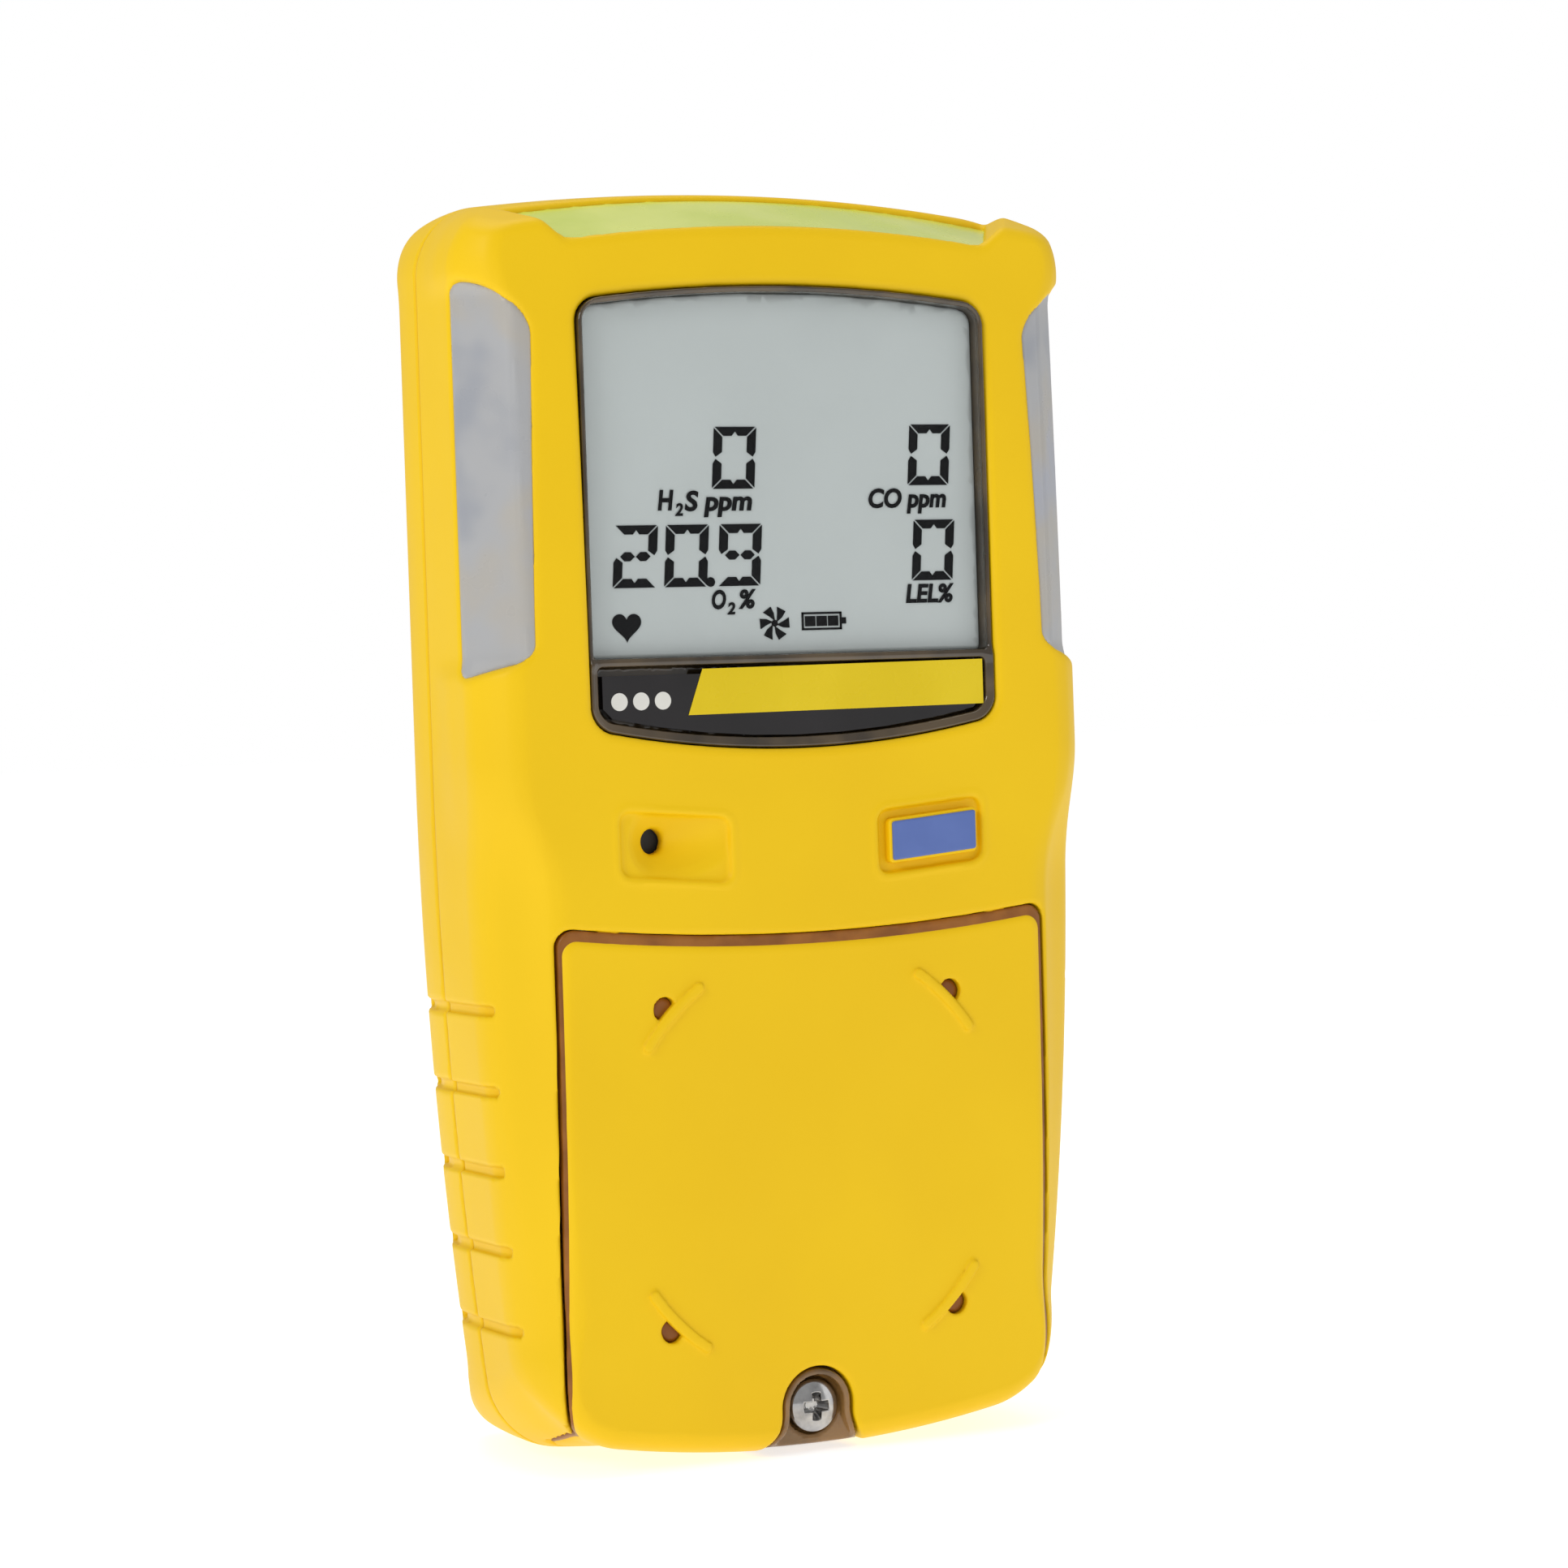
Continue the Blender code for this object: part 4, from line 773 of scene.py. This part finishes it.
SLOT_MATERIALS = {
    "yellow_rubber": YELLOW, "smoke_polycarbonate": SMOKE_PAINTED_LIGHT, "clear_window": WINDOW, "lens": LENS, "lcd": LCD,
    "label": LABEL, "button_blue": BLUE, "black_plastic": BLACK, "white_plastic": WHITE,
    "circuit_board": BOARD, "battery_wrap": WRAP, "silicone": SILICONE, "steel": STEEL, "brass": BRASS,
}


def dress_cad_nodes():
    """Gives every node that stays in view its slot's material."""
    for part in frame["record"]["subparts"]:
        obj = NODES[part["node"]]
        obj.data.materials.clear()
        obj.data.materials.append(SLOT_MATERIALS[part["material_slot"]])


# ---------------------------------------------------------------- the display's contents
def digit_outlines(left, bottom, segments, width=4.5, height=6.3, thick=0.92, lean=0.07):
    """Seven-segment outlines: a to f clockwise from the top, g and h across the middle."""
    t, gap = thick, 0.12
    middle = height / 2

    def end_bar(outer, inner):
        """A bar with slanted ends and a notch in its inner edge."""
        notch = outer + (inner - outer) * 0.5
        return [(gap, outer), (width - gap, outer), (width - t - gap, inner), (width / 2 + 0.35, inner),
                (width / 2, notch), (width / 2 - 0.35, inner), (t + gap, inner)]

    def half_bar(start, end):
        """Half of the middle bar, pointed at both ends."""
        return [(start, middle), (start + t / 2, middle + t / 2), (end - t / 2, middle + t / 2),
                (end, middle), (end - t / 2, middle - t / 2), (start + t / 2, middle - t / 2)]

    def post(right, upper):
        low, high = (middle, height) if upper else (0, middle)
        outer, inner = (width, width - t) if right else (0, t)
        end = high if upper else low
        cut = end - t - gap if upper else end + t + gap
        tip = end - gap if upper else end + gap
        near = middle + (gap if upper else -gap)
        elbow = middle + ((t / 2 + gap) if upper else -(t / 2 + gap))
        point = outer - 0.3 * t if right else outer + 0.3 * t
        return [(outer, tip), (inner, cut), (inner, elbow), (point, near), (outer, elbow)]

    made = {
        "a": end_bar(height, height - t), "d": end_bar(0, t),
        "g": half_bar(t * 0.6 + gap, width / 2 - 0.06),
        "h": half_bar(width / 2 + 0.06, width - t * 0.6 - gap),
        "b": post(True, True), "c": post(True, False), "f": post(False, True), "e": post(False, False),
    }
    return [[(left + 1.06 * px + lean * pz, bottom + pz) for px, pz in made[s]] for s in segments]


def circle_outline(cx, cz, radius, count=24):
    angles = [2 * math.pi * i / count for i in range(count)]
    return [(cx + radius * math.cos(a), cz + radius * math.sin(a)) for a in angles]


def heart_outline(cx, cz, size, count=40):
    points = []
    for i in range(count):
        a = 2 * math.pi * i / count
        points.append((cx + size * math.sin(a) ** 3,
                       cz + size * (13 * math.cos(a) - 5 * math.cos(2 * a) - 2 * math.cos(3 * a)
                                    - math.cos(4 * a)) / 16))
    return points


def fan_outlines(cx, cz, radius, blades=6):
    made = [circle_outline(cx, cz, radius * 0.2, 16)]
    for i in range(blades):
        start = 2 * math.pi * i / blades
        blade = [(0.15, -0.6), (0.6, -0.44), (1.0, -0.28), (0.98, 0.34), (0.6, 0.22)]
        made.append([(cx + radius * r * math.cos(start + a), cz + radius * r * math.sin(start + a))
                     for r, a in blade])
    return made


def rectangle(x0, z0, x1, z1):
    return [(x0, z0), (x1, z0), (x1, z1), (x0, z1)]


def lcd_shapes():
    zero = "abcdef"
    shapes = digit_outlines(-8.9, 99.2, zero) + digit_outlines(13.6, 99.4, zero)
    shapes += digit_outlines(13.75, 89.5, zero)
    for left, segments in ((-20.3, "abghed"), (-14.6, zero), (-8.6, "abcdfgh")):
        shapes += digit_outlines(left, 89.3, segments)
    shapes.append(circle_outline(-9.4, 89.75, 0.5, 12))
    shapes.append(heart_outline(-18.9, 85.5, 1.6))
    shapes += fan_outlines(-2.3, 85.4, 1.75)
    left, low, right, high = 0.8, 84.6, 5.4, 86.45
    wall = 0.22
    shapes += [rectangle(left, low, right, low + wall), rectangle(left, high - wall, right, high),
               rectangle(left, low, left + wall, high), rectangle(right - wall, low, right, high),
               rectangle(right, 85.2, right + 0.5, 85.85)]
    shapes += [rectangle(left + 0.38 + 1.32 * i, low + 0.4, left + 1.56 + 1.32 * i, high - 0.4)
               for i in range(3)]
    return shapes


def lettering(name, text, left, right, baseline, cap_height, look):
    """A word on the display, fitted between left and right, with capitals of the given height."""
    curve = bpy.data.curves.new(name, "FONT")
    curve.body = text
    curve.shear = 0.16
    curve.offset = 0.034
    curve.extrude = 0.02
    curve.resolution_u = 4
    source = bpy.data.objects.new(name + "_curve", curve)
    bpy.context.scene.collection.objects.link(source)
    bpy.context.view_layer.update()
    mesh = bpy.data.meshes.new_from_object(source.evaluated_get(bpy.context.evaluated_depsgraph_get()))
    bpy.data.objects.remove(source)
    bm = bmesh.new()
    bm.from_mesh(mesh)
    bmesh.ops.remove_doubles(bm, verts=bm.verts, dist=1e-5)
    low = min(v.co.x for v in bm.verts)
    across = (right - left) / (max(v.co.x for v in bm.verts) - low)
    tall = cap_height / max(v.co.y for v in bm.verts)
    for v in bm.verts:
        v.co = Vector((left + (v.co.x - low) * across, INK_FRONT + DEPTH_SHIFT - v.co.z,
                       baseline + v.co.y * tall)) * MM
    bm.to_mesh(mesh)
    bm.free()
    mesh.name = name
    mesh.materials.clear()
    mesh.materials.append(look)
    obj = bpy.data.objects.new(name, mesh)
    bpy.context.scene.collection.objects.link(obj)
    return obj


# ---------------------------------------------------------------- pieces
FINE_STEP, QUICK_STEP = 0.33, 0.6       # grid of the large pieces, mm
LCD_WORDS = [           # text, left, right, baseline and height of the capitals
    ("H", -14.2, -12.4, 97.3, 2.0), ("2", -12.3, -11.4, 96.7, 1.25), ("S ppm", -11.2, -3.6, 97.2, 2.0),
    ("CO ppm", 9.8, 18.9, 97.3, 1.95), ("O", -8.5, -6.9, 87.2, 1.9), ("2", -6.8, -5.9, 86.6, 1.2),
    ("%", -5.5, -3.5, 87.2, 1.9), ("LEL%", 13.8, 19.5, 87.4, 1.9),
]


def build(name, field, low, high, step, look, body_name, nodes, keep=1.0):
    """Meshes a piece between two corners and lets it ride on a body in place of the named nodes."""
    obj = mesh_piece(name, field, low, high, step, look, keep)
    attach(obj, body_name)
    if nodes:
        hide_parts(*nodes)
    return obj


def build_pieces():
    fine = FINE_STEP
    build("rubber_front", front_overmould, (-36, -20, -1), (36, -1, 132), fine, YELLOW, "case",
          ["front_overmould"])
    build("rubber_rear", rear_overmould, (-36, -3, -1), (36, 18, 132), fine * 1.25, YELLOW, "case",
          ["rear_overmould"])
    build("cover_front", front_cover, (-29, -20, -1), (29, -3, 56), fine * 0.75, YELLOW, "cover",
          ["front_cover"])
    build("cover_inner", cover_frame, (-26, -19, 0), (26, -11, 53), fine, SMOKE_PAINTED_LIGHT, "cover",
          ["cover_frame"])
    build("cover_rim", cover_ledge, (-29, -20, -1), (29, -3, 56), fine * 0.75, AMBER_PAINTED_LIGHT, "cover", [])
    for side, word in ((-1, "left"), (1, "right")):
        low, high = sorted((side * 24, side * 36))
        build(f"window_{word}", side_window(side), (low, -19, 79), (high, -6, 122), fine, WINDOW, "case",
              [f"alarm_window_{word}"])
    build("window_top", top_window, (-30, -19, 121), (30, -6, 131), fine, WINDOW_LIT, "case",
          ["alarm_window_top"])
    build("bezel", display_frame, (-24, -18.5, 71), (24, -13, 121), 0.22, SMOKE_DARK, "case",
          ["display_frame"], 0.4)
    build("lcd_panel", lcd_face, (-23, -16, 81), (23, -13, 120), 0.4, LCD, "case",
          ["lcd_glass"], 0.3)
    build("lens_panel", lens_face, (-23, -18, 81), (23, -15, 120), 0.3, LENS, "case",
          ["display_lens"], 0.3)
    build("key_rubber", button_key, (8, -19.5, 59), (21, -13, 67), 0.14, YELLOW, "key",
          ["button_key"])
    build("key_pad", button_pad, (9, -19.2, 60), (21, -18.2, 67), 0.12, BLUE, "key", ["button_pad"])
    build("gasket", cover_gasket, (-22, -14, 10), (22, -10, 52), 0.4, BLACK, "case", ["cover_gasket"])
    build("screw_cover", cover_screw, (-3, -17, 2), (3, -6, 8), 0.07, CHROME, "screw",
          ["cover_screw"], 0.5)
    for place, word in zip(CASE_SCREWS, CASE_SCREW_NAMES):
        build(f"screw_{word}", case_screw(place), (place[0] - 3, -8, place[1] - 3),
              (place[0] + 3, 9, place[1] + 3), 0.14, STEEL, "case", [f"case_screw_{word}"])
    build("cap_inlet", inlet_cap, (-14, 16, 14), (14, 22.5, 36), 0.22, BLACK, "case", ["inlet_cap"])
    for side, word in ((-1, "left"), (1, "right")):
        middle = side * INLET_SCREW_X
        build(f"screw_inlet_{word}", inlet_screw(side), (middle - 2.5, 11.5, INLET_Z - 2.5),
              (middle + 2.5, 22, INLET_Z + 2.5), 0.1, STEEL, "case", [f"inlet_screw_{word}"])
    build("nozzle", inlet_nozzle, (-2.5, 16.5, 4), (2.5, 22, 19), 0.12, STEEL, "case",
          ["inlet_nozzle"])
    build("port", charge_port, (-6, 2, 0), (6, 10, 7), 0.16, BLACK, "case",
          ["charge_port"])
    build("lever", clip_lever, (-9.5, 17, 61), (9.5, 35, 113), 0.22, STEEL, "lever",
          ["clip_lever"])
    build("plate", clip_base, (-9.5, 16, 61), (9.5, 28.5, 107), 0.2, STEEL, "case",
          ["clip_base"])
    build("screw_clip", clip_screw, (-3.5, 8, 95), (3.5, 20.5, 103), 0.12, STEEL, "case", ["clip_screw"])

    digits = [[(px + INK_SHIFT[0], pz + INK_SHIFT[1]) for px, pz in shape] for shape in lcd_shapes()]
    ink = flat_shapes("lcd_segments", digits, INK_FRONT, INK_THICKNESS, INK)
    band = flat_shapes("plate_band", [BAND_OUTLINE], PRINT_FRONT, PRINT_THICKNESS, BAND)
    dots = [circle_outline(-19.8 + 2.4 * i, 78.0, 0.9) for i in range(3)]
    emblem = flat_shapes("plate_emblem", dots, PRINT_FRONT, PRINT_THICKNESS, WHITE)
    words = [lettering(f"lcd_word_{i}", *word, INK) for i, word in enumerate(LCD_WORDS)]
    for obj, slot in [(ink, "lcd"), (band, "label"), (emblem, "label")] + [(word, "lcd") for word in words]:
        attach(obj, "case")


# ---------------------------------------------------------------- stage, lamps, camera
AZIMUTH, ELEVATION, ROLL = -25.66, 1.59, -1.88      # degrees
DISTANCE = 0.4475                                   # metres
FOCAL = 97.9                                        # mm, on the sensor below
SENSOR = 36
SHIFT = (0.0219, 0.0211)
TARGET = (0, -5.0, 65.5)                            # mm, in the body's layout
LAMP_TARGET = (0, 0, 0.065)
LAMPS = [               # name, place in metres, size in metres, power in watts
    ("key", (-0.85, -0.4, 0.55), (0.35, 0.35), 2.8),
    ("top", (0.0, 0.1, 1.0), (0.7, 0.7), 3.0),
    ("fill", (0.8, -0.5, 0.25), (0.4, 0.6), 0.5),
]
FLOOR_HALF = 6
FLOOR_GLOW = 0.72
SKY_STRENGTH = 0.47


def add_lamp(name, place, size, power):
    lamp = bpy.data.lights.new(name, "AREA")
    lamp.shape = "RECTANGLE"
    lamp.size, lamp.size_y = size
    lamp.energy = power
    obj = bpy.data.objects.new(name, lamp)
    obj.location = place
    obj.rotation_euler = (Vector(LAMP_TARGET) - Vector(place)).to_track_quat("-Z", "Y").to_euler()
    bpy.context.scene.collection.objects.link(obj)


def make_stage():
    bm = bmesh.new()
    bmesh.ops.create_grid(bm, x_segments=1, y_segments=1, size=FLOOR_HALF)
    mesh = bpy.data.meshes.new("floor")
    bm.to_mesh(mesh)
    bm.free()
    floor = bpy.data.objects.new("floor", mesh)
    mesh.materials.append(material("floor", [(200, 200, 200), (203, 203, 203)], 0.5, (0.8, 0.9), 0.01, 0.02,
                                   Emission_Color=(1, 1, 1, 1), Emission_Strength=FLOOR_GLOW))
    bpy.context.scene.collection.objects.link(floor)
    world = bpy.data.worlds.new("studio")
    world.use_nodes = True
    nodes, links = world.node_tree.nodes, world.node_tree.links
    soft = nodes["Background"]
    soft.inputs["Color"].default_value = (1, 1, 1, 1)
    soft.inputs["Strength"].default_value = SKY_STRENGTH
    seen = nodes.new("ShaderNodeBackground")
    seen.inputs["Color"].default_value = (1, 1, 1, 1)
    mix = nodes.new("ShaderNodeMixShader")
    links.new(nodes.new("ShaderNodeLightPath").outputs["Is Camera Ray"], mix.inputs["Fac"])
    links.new(soft.outputs["Background"], mix.inputs[1])
    links.new(seen.outputs["Background"], mix.inputs[2])
    links.new(mix.outputs["Shader"], nodes["World Output"].inputs["Surface"])
    bpy.context.scene.world = world
    bpy.context.scene.view_settings.view_transform = "Standard"
    for lamp in LAMPS:
        add_lamp(*lamp)


def make_camera():
    azimuth, elevation, roll = (math.radians(v) for v in (AZIMUTH, ELEVATION, ROLL))
    back = Vector((math.sin(azimuth) * math.cos(elevation), -math.cos(azimuth) * math.cos(elevation),
                   math.sin(elevation)))
    level = Vector((math.cos(azimuth), math.sin(azimuth), 0))
    upright = back.cross(level)
    right = level * math.cos(roll) + upright * math.sin(roll)
    up = upright * math.cos(roll) - level * math.sin(roll)
    camera = bpy.data.objects.new("camera", bpy.data.cameras.new("camera"))
    place = Vector((TARGET[0], TARGET[1] + DEPTH_SHIFT, TARGET[2])) * MM + back * DISTANCE
    camera.matrix_world = Matrix((right, up, back)).transposed().to_4x4()
    camera.location = place
    camera.data.lens = FOCAL
    camera.data.sensor_width = SENSOR
    camera.data.shift_x, camera.data.shift_y = SHIFT
    camera.data.clip_start = 0.01
    bpy.context.scene.collection.objects.link(camera)
    bpy.context.scene.camera = camera


dress_cad_nodes()
build_pieces()
make_stage()
make_camera()
